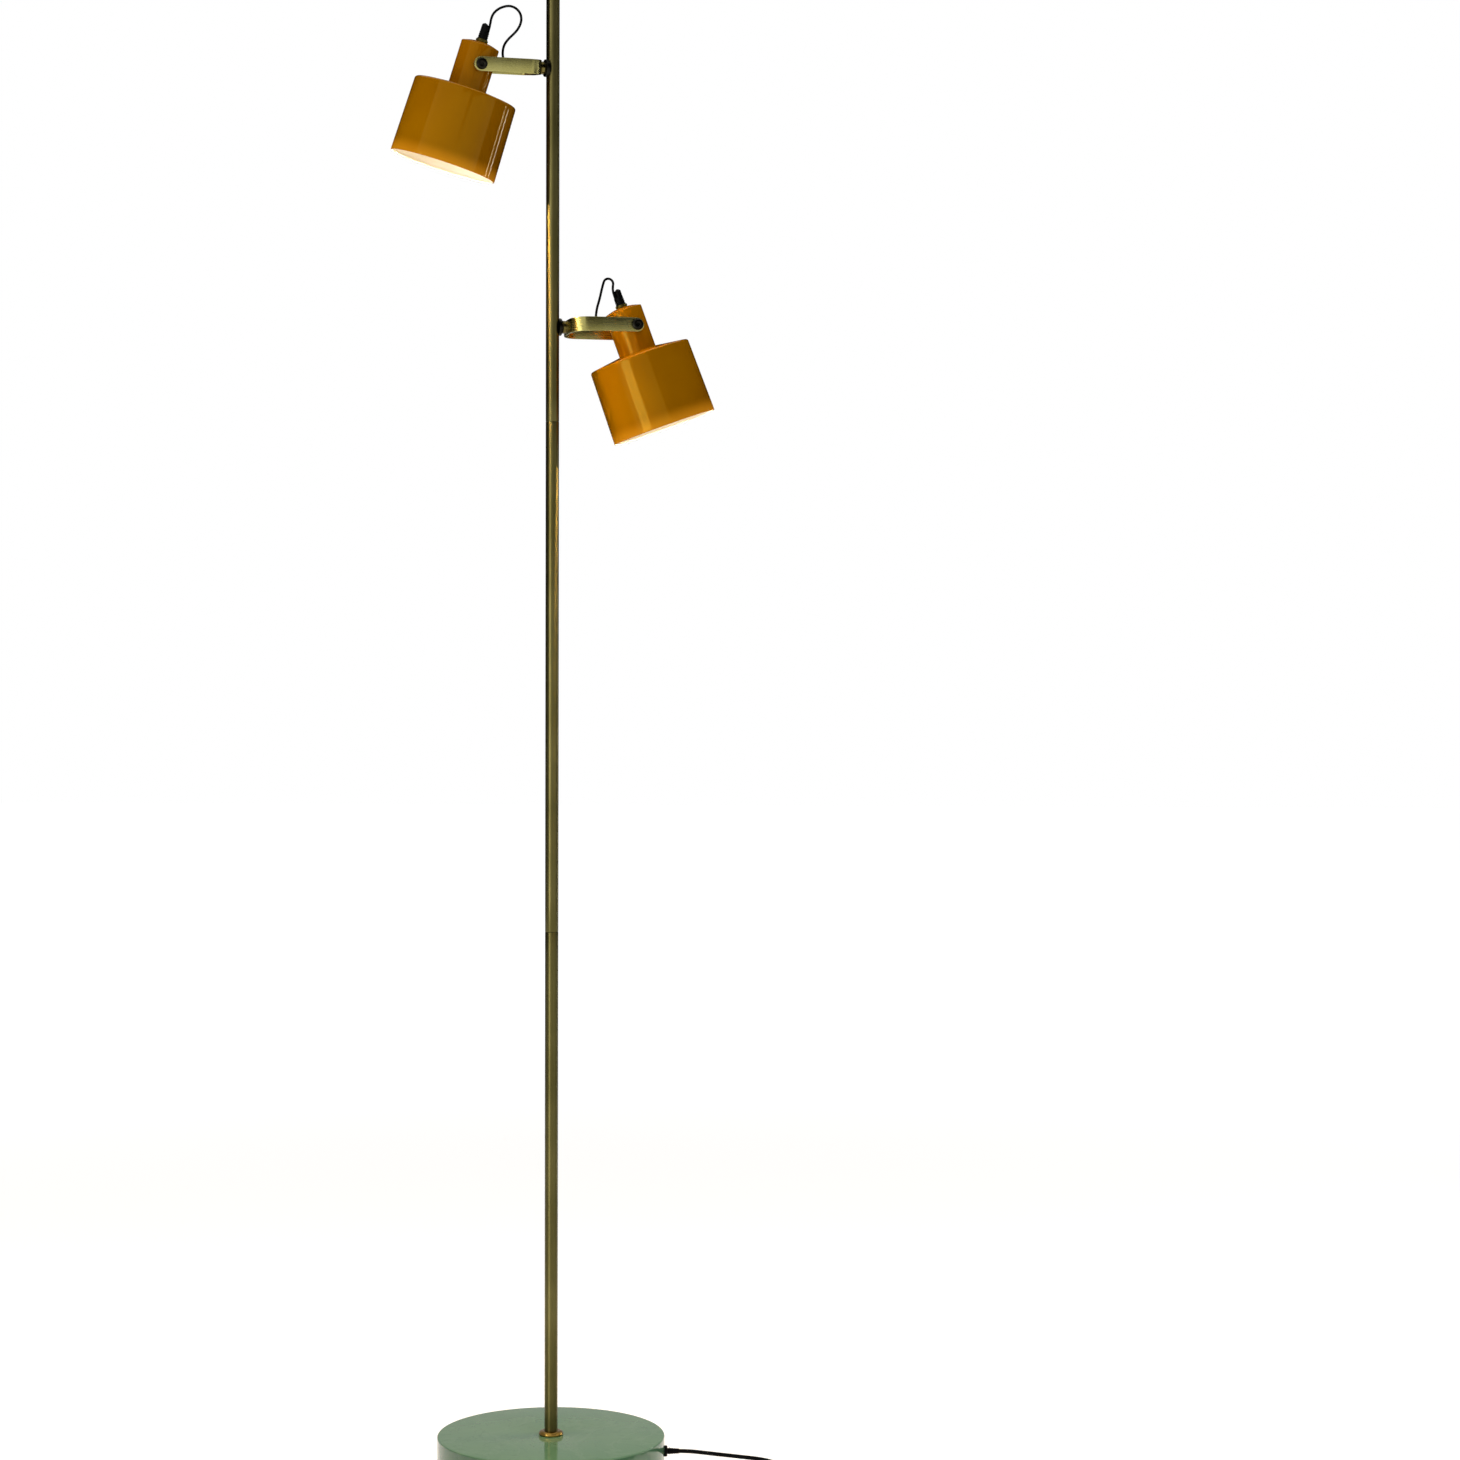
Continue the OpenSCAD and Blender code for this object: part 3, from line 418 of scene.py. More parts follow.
def makePiece(name, parts, place, finish, body, nodes=(), smooth=40, second=None,
              inSecond=None, attribute=None, uvs=None):
    # parts are points in mm, faces and bands; the bands picked by inSecond have the second finish
    points, faces, indices = [], [], []
    for partPoints, partFaces, bands in parts:
        start = len(points)
        points += [Vector(p) for p in partPoints]
        faces += [tuple(v + start for v in f) for f in partFaces]
        indices += [int(inSecond(band)) if inSecond else 0 for band in bands]
    mesh = bpy.data.meshes.new(name)
    mesh.from_pydata([p * mm for p in points], [], faces)
    mesh.materials.append(finishes[finish])
    if second:
        mesh.materials.append(finishes[second])
    mesh.polygons.foreach_set("material_index", indices)
    if attribute:
        label, measure = attribute
        layer = mesh.attributes.new(label, "FLOAT", "POINT")
        layer.data.foreach_set("value", [measure(p) for p in points])
    if uvs:
        layer = mesh.uv_layers.new(name="strip")
        for loopIndex, loop in enumerate(mesh.loops):
            layer.data[loopIndex].uv = uvs[loop.vertex_index]
    mend(mesh, place)
    return settle(showMesh(name, mesh, smooth), body, nodes)


def rounded(corners, steps=5):
    # corners are (x, y, radius) of a closed outline; each is cut to an arc
    outline = []
    count = len(corners)
    for i, (x, y, radius) in enumerate(corners):
        here = Vector((x, y))
        back = Vector(corners[i - 1][:2]) - here
        ahead = Vector(corners[(i + 1) % count][:2]) - here
        if radius <= 0 or back.length < 1e-6 or ahead.length < 1e-6:
            outline.append((x, y))
            continue
        half = back.angle(ahead) / 2
        reach = min(radius / math.tan(half), back.length * 0.49, ahead.length * 0.49)
        radius = reach * math.tan(half)
        toward = (back.normalized() + ahead.normalized()).normalized()
        centre = here + toward * (radius / math.sin(half))
        start = here + back.normalized() * reach - centre
        end = here + ahead.normalized() * reach - centre
        turn = start.angle_signed(end)
        for k in range(steps + 1):
            spot = start.copy()
            spot.rotate(Matrix.Rotation(-turn * k / steps, 2))
            outline.append(tuple(centre + spot))
    return outline


def lathe(outline, sides=96, shape=None):
    # a closed (radius, height) outline turned round Z; shape may move each point
    rings = []
    for radius, height in outline:
        ring = []
        for k in range(sides):
            angle = 2 * pi * k / sides
            spot = Vector((radius * math.cos(angle), radius * math.sin(angle), height))
            ring.append(shape(spot, radius, angle) if shape else spot)
        rings.append(ring)
    return skin(rings, loop=True)


def turned(name, outline, place, finish, body, nodes=(), sides=96, shape=None,
           smooth=40):
    return makePiece(name, [lathe(outline, sides, shape)], place, finish, body, nodes,
                     smooth)


def hexagon(flats):
    # distance from the axis to a hexagon's side at an angle
    return lambda angle: flats / 2 / math.cos((angle + pi / 6) % (pi / 3) - pi / 6)


def smoothPath(points, perSpan):
    # a curve through every point
    made = []
    last = len(points) - 1
    for i in range(last):
        a, b, c, d = (Vector(points[max(0, min(last, j))]) for j in (i - 1, i, i + 1, i + 2))
        for k in range(perSpan):
            t = k / perSpan
            made.append(0.5 * (2 * b + (c - a) * t + (2 * a - 5 * b + 4 * c - d) * t * t
                               + (3 * b - a - 3 * c + d) * t ** 3))
    made.append(Vector(points[last]))
    return made


# Geometry node tools


def startTree(name, **takes):
    return openTree(name, "GeometryNodeTree",
                    {"Geometry": "Geometry", **takes, "Material": "Material"},
                    {"Geometry": "Geometry"})


def endTree(tree, source, sink, last, output):
    # instances made real, one material set
    real = addNode(tree, "GeometryNodeRealizeInstances")
    paint = addNode(tree, "GeometryNodeSetMaterial")
    wire(tree, (last, output, real, "Geometry"), (real, "Geometry", paint, "Geometry"),
         (source, "Material", paint, "Material"), (paint, "Geometry", sink, "Geometry"))
    return tree


def cordSweepTree():
    # a round cord along its host's line of edges
    tree, source, sink = startTree("cordSweep", Radius=0.002, Sides=12)
    line = addNode(tree, "GeometryNodeMeshToCurve")
    ring = addNode(tree, "GeometryNodeCurvePrimitiveCircle")
    sweep = addNode(tree, "GeometryNodeCurveToMesh", **{"Fill Caps": True})
    wire(tree, (source, "Geometry", line, "Mesh"), (source, "Radius", ring, "Radius"),
         (source, "Sides", ring, "Resolution"), (line, "Curve", sweep, "Curve"),
         (ring, "Curve", sweep, "Profile Curve"))
    return endTree(tree, source, sink, sweep, "Mesh")


def ringOfTree():
    # copies of the host round Z, each turned to face outwards
    tree, source, sink = startTree("ringOf", Count=24, Radius=0.01, Height=0.0)
    circle = addNode(tree, "GeometryNodeMeshCircle")
    lift = addNode(tree, "GeometryNodeTransform")
    up = addNode(tree, "ShaderNodeCombineXYZ")
    index = addNode(tree, "GeometryNodeInputIndex")
    share = addNode(tree, "ShaderNodeMath", operation="DIVIDE")
    angle = addNode(tree, "ShaderNodeMath", operation="MULTIPLY", second=2 * pi)
    turn = addNode(tree, "ShaderNodeCombineXYZ")
    copy = addNode(tree, "GeometryNodeInstanceOnPoints")
    wire(tree, (source, "Count", circle, "Vertices"), (source, "Radius", circle, "Radius"),
         (source, "Height", up, "Z"), (circle, "Mesh", lift, "Geometry"),
         (up, "Vector", lift, "Translation"), (index, "Index", share, 0),
         (source, "Count", share, 1), (share, "Value", angle, 0), (angle, "Value", turn, "Z"),
         (lift, "Geometry", copy, "Points"), (source, "Geometry", copy, "Instance"),
         (turn, "Vector", copy, "Rotation"))
    return endTree(tree, source, sink, copy, "Instances")


def rowOfTree():
    # copies of the host along Z, each smaller than the one before, as ribs on a taper
    tree, source, sink = startTree("rowOf", Count=6, Step=0.002, Shrink=0.9)
    line = addNode(tree, "GeometryNodeMeshLine")
    step = addNode(tree, "ShaderNodeCombineXYZ")
    index = addNode(tree, "GeometryNodeInputIndex")
    power = addNode(tree, "ShaderNodeMath", operation="POWER")
    size = addNode(tree, "ShaderNodeCombineXYZ", Z=1.0)
    copy = addNode(tree, "GeometryNodeInstanceOnPoints")
    wire(tree, (source, "Count", line, "Count"), (source, "Step", step, "Z"),
         (step, "Vector", line, "Offset"), (source, "Shrink", power, 0),
         (index, "Index", power, 1), (power, "Value", size, "X"), (power, "Value", size, "Y"),
         (line, "Mesh", copy, "Points"), (source, "Geometry", copy, "Instance"),
         (size, "Vector", copy, "Scale"))
    return endTree(tree, source, sink, copy, "Instances")


cordTree = cordSweepTree()
ringTree = ringOfTree()
rowTree = rowOfTree()


def grow(name, host, tree, place, finish, body, nodes=(), slot=None, smooth=40, **values):
    # runs a node tree on a host mesh, and keeps its result as a plain mesh
    hostObject = bpy.data.objects.new(name + "Host", host)
    scene.collection.objects.link(hostObject)
    modifier = hostObject.modifiers.new("grow", "NODES")
    modifier.node_group = tree
    values["Material"] = finishes[finish]
    for item in tree.interface.items_tree:
        if item.item_type == "SOCKET" and item.in_out == "INPUT" and item.name in values:
            modifier[item.identifier] = values[item.name]
    hostObject.update_tag()
    graph = bpy.context.evaluated_depsgraph_get()
    mesh = bpy.data.meshes.new_from_object(hostObject.evaluated_get(graph))
    mesh.name = name
    bpy.data.objects.remove(hostObject)
    mesh.transform(place)
    return settle(showMesh(name, mesh, smooth), body, nodes)


def lineMesh(name, path):
    mesh = bpy.data.meshes.new(name)
    mesh.from_pydata(path, [(i, i + 1) for i in range(len(path) - 1)], [])
    return mesh


def hostMesh(name, part):
    # a small closed mesh to be copied, in metres, from points in mm
    mesh = bpy.data.meshes.new(name)
    mesh.from_pydata([Vector(p) * mm for p in part[0]], [], part[1])
    mend(mesh)
    return mesh


ribRows = {
    # the first rib's radius, depth, length and sides; how many, their step, how each shrinks
    "mainsRelief": (3.35, 1.0, 1.1, 40, 6, 1.7, 0.945),
    "cordGrip": (4.98, 0.9, 1.25, 56, 4, 1.95, 0.985),
    "switchSleeve": (4.05, 0.9, 1.2, 40, 8, 2.1, 0.942),
    "plugSleeve": (2.95, 0.8, 1.2, 40, 8, 2.1, 1.045),
}


def growRibs(name, kind, place, body, slot=None):
    # a row of soft ribs, each a ring with a rounded outside
    radius, deep, long, sides, count, step, shrink = ribRows[kind]
    inner, half, soft = radius - deep, long / 2, long * 0.3
    rib = lathe(rounded([(inner, -half, 0), (radius, -half, soft), (radius, half, soft),
                         (inner, half, 0)], 3), sides)
    return grow(name, hostMesh(name, rib), rowTree, place, "blackPlastic", body, slot=slot,
                Count=count, Step=step * mm, Shrink=shrink)


# Where the arms and heads are

arm = {
    "turn": 20.2, "reach": 79.0, "back": 14.6, "width": 49.0, "thick": 2.5, "height": 14.0,
    "bend": 17.0, "edge": 0.45,
}
heads = {
    "upper": {"up": 1376.7, "turn": arm["turn"] + 180, "roll": -5.6, "tilt": 16.6},
    "lower": {"up": 1127.0, "turn": arm["turn"], "roll": -6.9, "tilt": 18.7},
}
for head in heads.values():
    head["stub"] = (Matrix.Translation((0, 0, head["up"] * mm))
                    @ Matrix.Rotation(math.radians(head["turn"]), 4, "Z"))
    head["arm"] = head["stub"] @ Matrix.Rotation(math.radians(head["roll"]), 4, "X")
    head["pin"] = (head["arm"] @ Matrix.Translation((arm["reach"] * mm, 0, 0))
                   @ Matrix.Rotation(math.radians(-head["tilt"]), 4, "Y"))

alongX = Matrix.Rotation(pi / 2, 4, "Y")
alongY = Matrix.Rotation(-pi / 2, 4, "X")
sheathRadius = 2.05  # the bore of every sleeve round the mains cord

# Cords, first of the pieces

base = {"across": 225.0, "high": 32.0, "pad": 3.0, "edge": 1.5, "outlet": 19.0}
baseR, baseTop = base["across"] / 2, base["pad"] + base["high"]
relief = {"flange": 11.0, "flangeLong": 2.8, "shank": 9.0, "shankLong": 14.0, "root": 7.0,
          "tip": 5.0, "long": 12.0, "ribsFrom": 1.9}
reliefTip = baseR + relief["flangeLong"] + relief["long"]
grip = {"seat": 24.95, "body": 8.0, "tongue": 8.0, "across": 10.0, "hole": -3.3, "flat": -1.5}
gripTop = grip["seat"] + grip["body"]
coil = {"centre": (190.0, -126.0), "radius": 29.5, "step": 4.6, "turns": 11, "layers": 4,
        "low": 2.95, "perTurn": 48}
layerTurns = coil["turns"] / coil["layers"]
lastTurn = coil["turns"] - 0.0001
switch = {"place": (265.0, -88.0), "long": 60.0, "wide": 28.0, "sleeveUp": 5.0}
plug = {"place": (112.0, -157.0), "up": 7.0}
cordWidth = {"mains": 4.0, "head": 2.4}
inStud = 21  # how far from the pole's middle a head cord enters its stud


def coilPoint(turn):
    # the spiral runs in and out again, a layer each way
    spot = turn % (2 * layerTurns)
    radius = coil["radius"] - coil["step"] * min(spot, 2 * layerTurns - spot)
    climb = sum(min(1, max(0, (turn - k * layerTurns) * 2 + 0.5))
                for k in range(1, coil["layers"]))
    angle = -pi / 2 - 2 * pi * turn
    return Vector((coil["centre"][0] + radius * math.cos(angle),
                   coil["centre"][1] + radius * math.sin(angle),
                   coil["low"] + coil["step"] * climb))


def coilEnd(turn, inward, away):
    # a point on the straight run off the coil's start or end, so far away
    edge = coilPoint(turn)
    return edge + (edge - coilPoint(turn + inward)).normalized() * away


outerRoute = [
    (reliefTip, 0, 19), (reliefTip + 3, 0, 19), (138, 0, 18.7), (148, 0, 17.8),
    (164, 0, 16), (182, 0, 14.1), (201, 0, 12), (212, -0.5, 10.4), (222, -2, 8.2),
    (232, -5, 5.6), (242, -9, 3.6), (251, -15, 2.8), (258, -22, 3), (263, -30, 4.2),
    (265, -38 + 8 / 3, 5), (265, -38, 5),
]
inSwitch = [Vector((265, y, 5)) for y in range(-58, -137, -20)]
linkRoute = [
    (265, -138, 5), (265, -138 - 8 / 3, 5), (264.7, -145, 4.8), (262, -150, 4.4),
    (256, -155, 4), (248, -157.5, 3.6), (237, -157.5, 3.2), (223, -157, 3), (209, -156, 3),
    coilEnd(0, 0.001, 10), coilEnd(0, 0.001, 4), coilPoint(0),
]
coilRoute = [coilPoint(k / coil["perTurn"])
             for k in range(1, coil["turns"] * coil["perTurn"])]
tailRoute = [
    coilPoint(lastTurn), coilEnd(lastTurn, -0.001, 4), coilEnd(lastTurn, -0.001, 10),
    (170, -156, 16), (161, -156.5, 14.4), (152, -157, 12.4), (143, -157, 10.4),
    (134, -157, 8.6), (125, -157, 7.4), (116, -157, 7), (112, -157, 7),
]
mainsPath = [p * mm for p in smoothPath(outerRoute, 6) + inSwitch + smoothPath(linkRoute, 6)
             + coilRoute + smoothPath(tailRoute, 6)]

# each head cord: points above the grip, then (share of the arm's reach, height) to the stud
headLoops = {
    "upper": ([(-3.15, 38.3), (-2.7, 42.8), (-2.3, 47)], [
        (0.6948, 49), (0.6207, 53.2), (0.531, 55.8), (0.4241, 57), (0.3207, 55.4),
        (0.2448, 51.4), (0.2138, 46), (0.2276, 40.4), (0.2759, 35), (0.3448, 30.4),
        (0.4241, 25.8), (0.4897, 20.4), (0.5172, 14.4), (0.5103, 8), (0.4655, 3),
        (0.3879, 0.4), (0.2931, 0), (0.1552, 0)]),
    "lower": ([(-3.15, 38.4), (-2.1, 42.9)], [
        (0.7379, 44.57), (0.7252, 47), (0.6931, 48.73), (0.6505, 49.3), (0.6086, 48.56),
        (0.5788, 46.7), (0.5517, 42.4), (0.5241, 37), (0.4983, 31.4), (0.469, 25.8),
        (0.4379, 20.2), (0.4172, 14.4), (0.4034, 8.6), (0.3621, 3.4), (0.2862, 0.5),
        (0.1552, 0)]),
}


def headRoute(tilt, start, loop):
    # from the grip, over the arm's open end, and into the hollow stud
    c, s = math.cos(math.radians(tilt)), math.sin(math.radians(tilt))
    inHead = [(grip["hole"], gripTop - 1.5), (grip["hole"], gripTop + 1.4)] + start
    route = [(arm["reach"] + x * c - z * s, 0, x * s + z * c) for x, z in inHead]
    route += [(inStud + share * (arm["reach"] - inStud), 0, z) for share, z in loop]
    return route + [(inStud, 0, 0)]


mainsCord = grow("mainsCord", lineMesh("mainsLine", mainsPath), cordTree, Matrix(),
                 "cordSheath", "stand", ["mains_cord", "mains_link", "mains_coil", "mains_tail"],
                 Radius=cordWidth["mains"] / 2 * mm, Sides=16)
for which, head in heads.items():
    path = [head["arm"] @ (p * mm)
            for p in smoothPath(headRoute(head["tilt"], *headLoops[which]), 5)]
    piece = grow(which + "HeadCord", lineMesh(which + "HeadLine", path), cordTree, Matrix(),
                 "cordSheath", None, [which + "_head_cord"],
                 Radius=cordWidth["head"] / 2 * mm, Sides=14)
    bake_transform(piece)

# Base

recess = {"across": 72.0, "top": 24.0, "ledge": 9.3, "cover": 2.5, "hole": 8.6}
holeR, recessR = recess["hole"] / 2, recess["across"] / 2
ledgeR, ledgeUp = recessR + recess["ledge"], base["pad"] + recess["cover"]
turned("marbleDisc", rounded([
    (holeR, recess["top"], 0.3), (recessR, recess["top"], 0.5), (recessR, ledgeUp, 0),
    (ledgeR, ledgeUp, 0), (ledgeR, base["pad"], 0.3), (baseR, base["pad"], base["edge"]),
    (baseR, baseTop, base["edge"]), (holeR, baseTop, 0.4)], 6),
    Matrix(), "marble", "stand", ["marble_base"], sides=256)

pad = {"inset": 8.0, "edge": 0.8, "groove": (14, 10), "deep": 0.5}  # the groove's two edges
padR = baseR - pad["inset"]
grooveIn, grooveOut = (padR - aside for aside in pad["groove"])
turned("footPad", rounded([
    (0, 0, 0), (grooveIn, 0, 0), (grooveIn + 1, pad["deep"], 0.3),
    (grooveOut - 1, pad["deep"], 0.3), (grooveOut, 0, 0), (padR, 0, pad["edge"]),
    (padR, base["pad"], 0.2), (0, base["pad"], 0)], 3),
    Matrix(), "footRubber", "stand", ["foot_pad"], sides=160)

collar = {"across": 24.4, "high": 4.5, "bore": 13.1}
collarR = collar["across"] / 2
turned("baseCollar", rounded([
    (collar["bore"] / 2, baseTop, 0), (collarR - 0.4, baseTop, 0.3),
    (collarR, baseTop + 1.4, 1.2), (collarR - 1.1, baseTop + 3.7, 1.8),
    (collarR - 3.4, baseTop + collar["high"], 1.2),
    (collar["bore"] / 2, baseTop + collar["high"], 0.4)], 7),
    Matrix(), "collarBrass", "stand", ["base_collar"], sides=128)

outlet = Matrix.Translation((0, 0, base["outlet"] * mm)) @ alongX
flangeEnd, shankR = baseR + relief["flangeLong"], relief["shank"] / 2
turned("mainsRelief", rounded([
    (sheathRadius, baseR - relief["shankLong"], 0),
    (shankR, baseR - relief["shankLong"], 0.6), (shankR, baseR, 0),
    (relief["flange"] / 2, baseR, 0.3), (relief["flange"] / 2, flangeEnd, 1.1),
    (relief["root"] / 2 - 0.6, flangeEnd, 0.5), (relief["tip"] / 2 - 0.25, reliefTip, 0.3),
    (sheathRadius, reliefTip, 0)], 4),
    outlet, "blackPlastic", "stand", ["mains_relief"], sides=48)
growRibs("mainsReliefRibs", "mainsRelief",
         outlet @ Matrix.Translation((0, 0, (flangeEnd + relief["ribsFrom"]) * mm)), "stand",
         "cord_black")
print("base made")

# Pole

pole = {"across": 13.0, "wall": 1.0, "tube": 500.0, "chamfer": 0.45, "rows": 20, "cap": 3.0,
        "capPlug": 6.0}
outerR, innerR = pole["across"] / 2, pole["across"] / 2 - pole["wall"]
cut = pole["chamfer"]
for n, label in enumerate(("lower", "middle", "upper")):
    low = baseTop + n * pole["tube"]
    high = low + pole["tube"]
    turned(label + "PoleTube", [
        (innerR, low), (outerR - cut, low), (outerR - cut * 0.3, low + cut * 0.3)] + [
        (outerR, low + cut + (pole["tube"] - 2 * cut) * k / pole["rows"])
        for k in range(pole["rows"])] + [
        (outerR, high - cut), (outerR - cut * 0.3, high - cut * 0.3), (outerR - cut, high),
        (innerR, high)],
        Matrix(), "poleBrass", "stand", ["pole_" + label], smooth=50)
poleTop = baseTop + 3 * pole["tube"]
plugR, plugLow = innerR - 0.05, poleTop - pole["capPlug"]
turned("poleCap", rounded([
    (0, plugLow, 0), (plugR, plugLow, 0.4), (plugR, poleTop, 0),
    (outerR, poleTop + 0.02, 0.3), (outerR, poleTop + 1.5, 0.5),
    (outerR - 1.6, poleTop + pole["cap"] - 0.25, 1.5), (0, poleTop + pole["cap"], 0)], 5),
    Matrix(), "collarBrass", "stand", ["pole_cap"])
print("pole made")

# Swivels: saddle washer, barrel, stud and nut at each head

swivel = {"saddle": 17.0, "saddleThick": 1.9, "saddleLow": 3.0, "stud": 6.0, "studWall": 1.4,
          "studEnd": 22.6, "barrel": 12.4, "nut": 10.0, "nutHigh": 4.0, "nutCut": 0.5,
          "gap": 0.1}
saddleFront = outerR + swivel["saddleThick"]
saddleR, studR, barrelR = swivel["saddle"] / 2, swivel["stud"] / 2, swivel["barrel"] / 2
boreR = studR + 0.05  # of what slides over the stud
barrelEnd = arm["back"] - swivel["gap"]
nutLow = arm["back"] + arm["thick"] + swivel["gap"]
nutTop = nutLow + swivel["nutHigh"]
nutSide, nutFlat, nutCut = hexagon(swivel["nut"]), swivel["nut"] / 2, swivel["nutCut"]


def saddleShape(spot, reach, angle):
    # the near face follows the pole, whose axis runs across the washer
    if spot.z < saddleFront - 1.2:
        across = min(abs(spot.x), outerR)
        along = math.sqrt(max(0.0, (outerR + 0.02) ** 2 - across ** 2))
        return Vector((spot.x, spot.y, max(along, saddleFront - 3.3)))
    return spot


def nutShape(spot, reach, angle):
    # the hexagon's corners are turned off by a cone at both faces
    if reach < studR + 0.5:
        return spot
    corner = nutFlat * 0.154 if nutLow + nutCut < spot.z < nutTop - nutCut else 0.1
    size = min(nutSide(angle), nutFlat + corner)
    return Vector((math.cos(angle) * size, math.sin(angle) * size, spot.z))


for which, head in heads.items():
    place = head["stub"] @ alongX @ Matrix.Rotation(pi / 2, 4, "Z")
    low = swivel["saddleLow"]
    saddle = [
        (studR + 0.1, low), (saddleR * 0.6, low), (saddleR * 0.85, low), (saddleR, low),
        (saddleR, saddleFront - 0.5), (saddleR - 0.15, saddleFront - 0.15),
        (saddleR - 0.5, saddleFront), (studR + 0.1, saddleFront)]
    barrel = rounded([
        (boreR, saddleFront, 0), (barrelR - 1.2, saddleFront, 0.2),
        (barrelR - 1.2, saddleFront + 0.9, 0.2), (barrelR, saddleFront + 1.2, 0.5),
        (barrelR, barrelEnd - 1.7, 0.5), (barrelR - 0.5, barrelEnd - 1.3, 0.1),
        (barrelR - 0.5, barrelEnd - 1.0, 0.1), (barrelR, barrelEnd - 0.8, 0.3),
        (barrelR, barrelEnd, 0.3), (boreR, barrelEnd, 0)], 3)
    stud = rounded([
        (studR - swivel["studWall"], low, 0), (studR, low, 0.2),
        (studR, swivel["studEnd"], 0.5), (studR - swivel["studWall"], swivel["studEnd"], 0.4)],
        4)
    nut = [(boreR, nutLow), (nutFlat, nutLow), (nutFlat + nutCut, nutLow + nutCut + 1e-3),
           (nutFlat + nutCut, nutTop - nutCut - 1e-3), (nutFlat, nutTop), (boreR, nutTop)]
    for kind, node, outline, finish, slot, sides, shape, smooth in (
            ("SaddleWasher", "saddle_washers", saddle, "blackMetal", None, 96, saddleShape, 40),
            ("StemBarrel", "stem_barrels", barrel, "smallBrass", None, 72, None, 40),
            ("SwivelStud", "swivel_studs", stud, "smallBrass", "arm_brass", 48, None, 40),
            ("StudNut", "stud_nuts", nut, "blackMetal", None, 96, nutShape, 30)):
        turned(which + kind, outline, place, finish, "stand",
               [node] if which == "upper" else [], sides, shape, smooth)
print("swivels made")

# Yokes: a flat strip with round ends, bent to a U

yokeSteps = {"end": 14, "straight": 10, "bend": 16, "back": 4}


def yokeLine():
    # middle line of the strip from one end to the other, as (point, outward normal, length)
    half = arm["width"] / 2 - arm["thick"] / 2
    bend = arm["bend"] - arm["thick"] / 2
    backAt = arm["back"] + arm["thick"] / 2
    tip = arm["reach"] + arm["height"] / 2
    bendX = backAt + bend
    straight, arc, flat = tip - bendX, bend * pi / 2, 2 * (half - bend)
    endR = arm["height"] / 2
    stops = [endR * (1 - math.cos(pi / 2 * k / yokeSteps["end"]))
             for k in range(yokeSteps["end"] + 1)]
    stops += [endR + (straight - endR) * k / yokeSteps["straight"]
              for k in range(1, yokeSteps["straight"] + 1)]
    line = [(Vector((tip - s, -half, 0)), Vector((0, -1, 0)), s) for s in stops]
    for k in range(1, yokeSteps["bend"] + 1):
        share = k / yokeSteps["bend"]
        c, s = math.cos(pi / 2 * share), math.sin(pi / 2 * share)
        line.append((Vector((bendX - bend * s, -(half - bend) - bend * c, 0)),
                     Vector((-s, -c, 0)), straight + arc * share))
    total = 2 * straight + 2 * arc + flat
    mirrored = [(Vector((p.x, -p.y, 0)), Vector((n.x, -n.y, 0)), total - s)
                for p, n, s in reversed(line)]
    back = [(Vector((backAt, -(half - bend) + flat * k / yokeSteps["back"], 0)),
             Vector((-1, 0, 0)), straight + arc + flat * k / yokeSteps["back"])
            for k in range(1, yokeSteps["back"])]
    return line + back + mirrored, total


def yokePart():
    # the strip's section at each stop, narrowed to the round ends, and its UV in metres
    line, total = yokeLine()
    rings, uvs = [], []
    thin, full = arm["thick"] / 2, arm["height"] / 2
    for spot, out, s in line:
        fromEnd = min(s, total - s)
        high = full
        if fromEnd < full:
            high = max(0.05, math.sqrt(max(0.0, full ** 2 - (full - fromEnd) ** 2)))
        soft = min(arm["edge"], high * 0.6)
        section = rounded([(-thin, -high, soft), (thin, -high, soft), (thin, high, soft),
                           (-thin, high, soft)], 3)
        rings.append([spot + out * x + Vector((0, 0, z)) for x, z in section])
        uvs += [(s * mm, (z + x) * mm) for x, z in section]
    return skin(rings), uvs


for which, head in heads.items():
    part, uvs = yokePart()
    makePiece(which + "Yoke", [part], head["arm"], "armBrass", which + "_yoke",
              [which + "_yoke"], smooth=38, uvs=uvs)
print("yokes made")

# Heads

neck = {"across": 37.4, "up": 18.7, "down": 23.7, "dome": 3.7, "sheet": 1.0, "lip": 1.2,
        "hole": 4.1}
shade = {"top": 101.4, "mouth": 104.2, "fall": 4.7, "high": 74.1, "sheet": 1.0, "seat": 28.5,
         "bead": 1.5, "shoulder": 2.2}
pivot = {"head": 11.0, "high": 3.2, "screw": 5.0, "socket": 4.0, "socketR": 2.0, "flange": 12.0,
         "boss": 7.6, "inside": 16.2}
holder = {"skirt": 28.4, "body": 25.0, "socket": 14.6, "skirtEnd": -40.0, "skirtTop": -22.2,
          "turns": 11, "pitch": 1.5, "thread": 0.45, "floor": -13.6, "bodyTop": 12.0,
          "shoulder": 13.0, "shoulderTop": 20.4, "stem": 8.0, "stemTop": 29.4, "bore": 5.2}
ringPart = {"across": 37.0, "bore": 28.5, "high": 6.0, "top": -24.75, "teeth": 36}
gripNut = {"across": 11.5, "bore": 8.1, "high": 2.5, "teeth": 44}
bulb = {"across": 45.0, "long": 50.0, "neck": 17.0, "join": 50, "cap": 13.8, "capEnd": -41.5,
        "capTop": -19.2, "contact": -15.5, "pitch": 2.82, "thread": 0.5}

neckR = neck["across"] / 2
domeTop = neck["up"] + neck["dome"]
domeR = (neckR ** 2 + neck["dome"] ** 2) / (2 * neck["dome"])
domeZ = domeTop - domeR
shoulderZ = -neck["down"] - shade["fall"]
mouthZ = shoulderZ - shade["high"]
ringTop = ringPart["top"]
ringLow = ringTop - ringPart["high"]


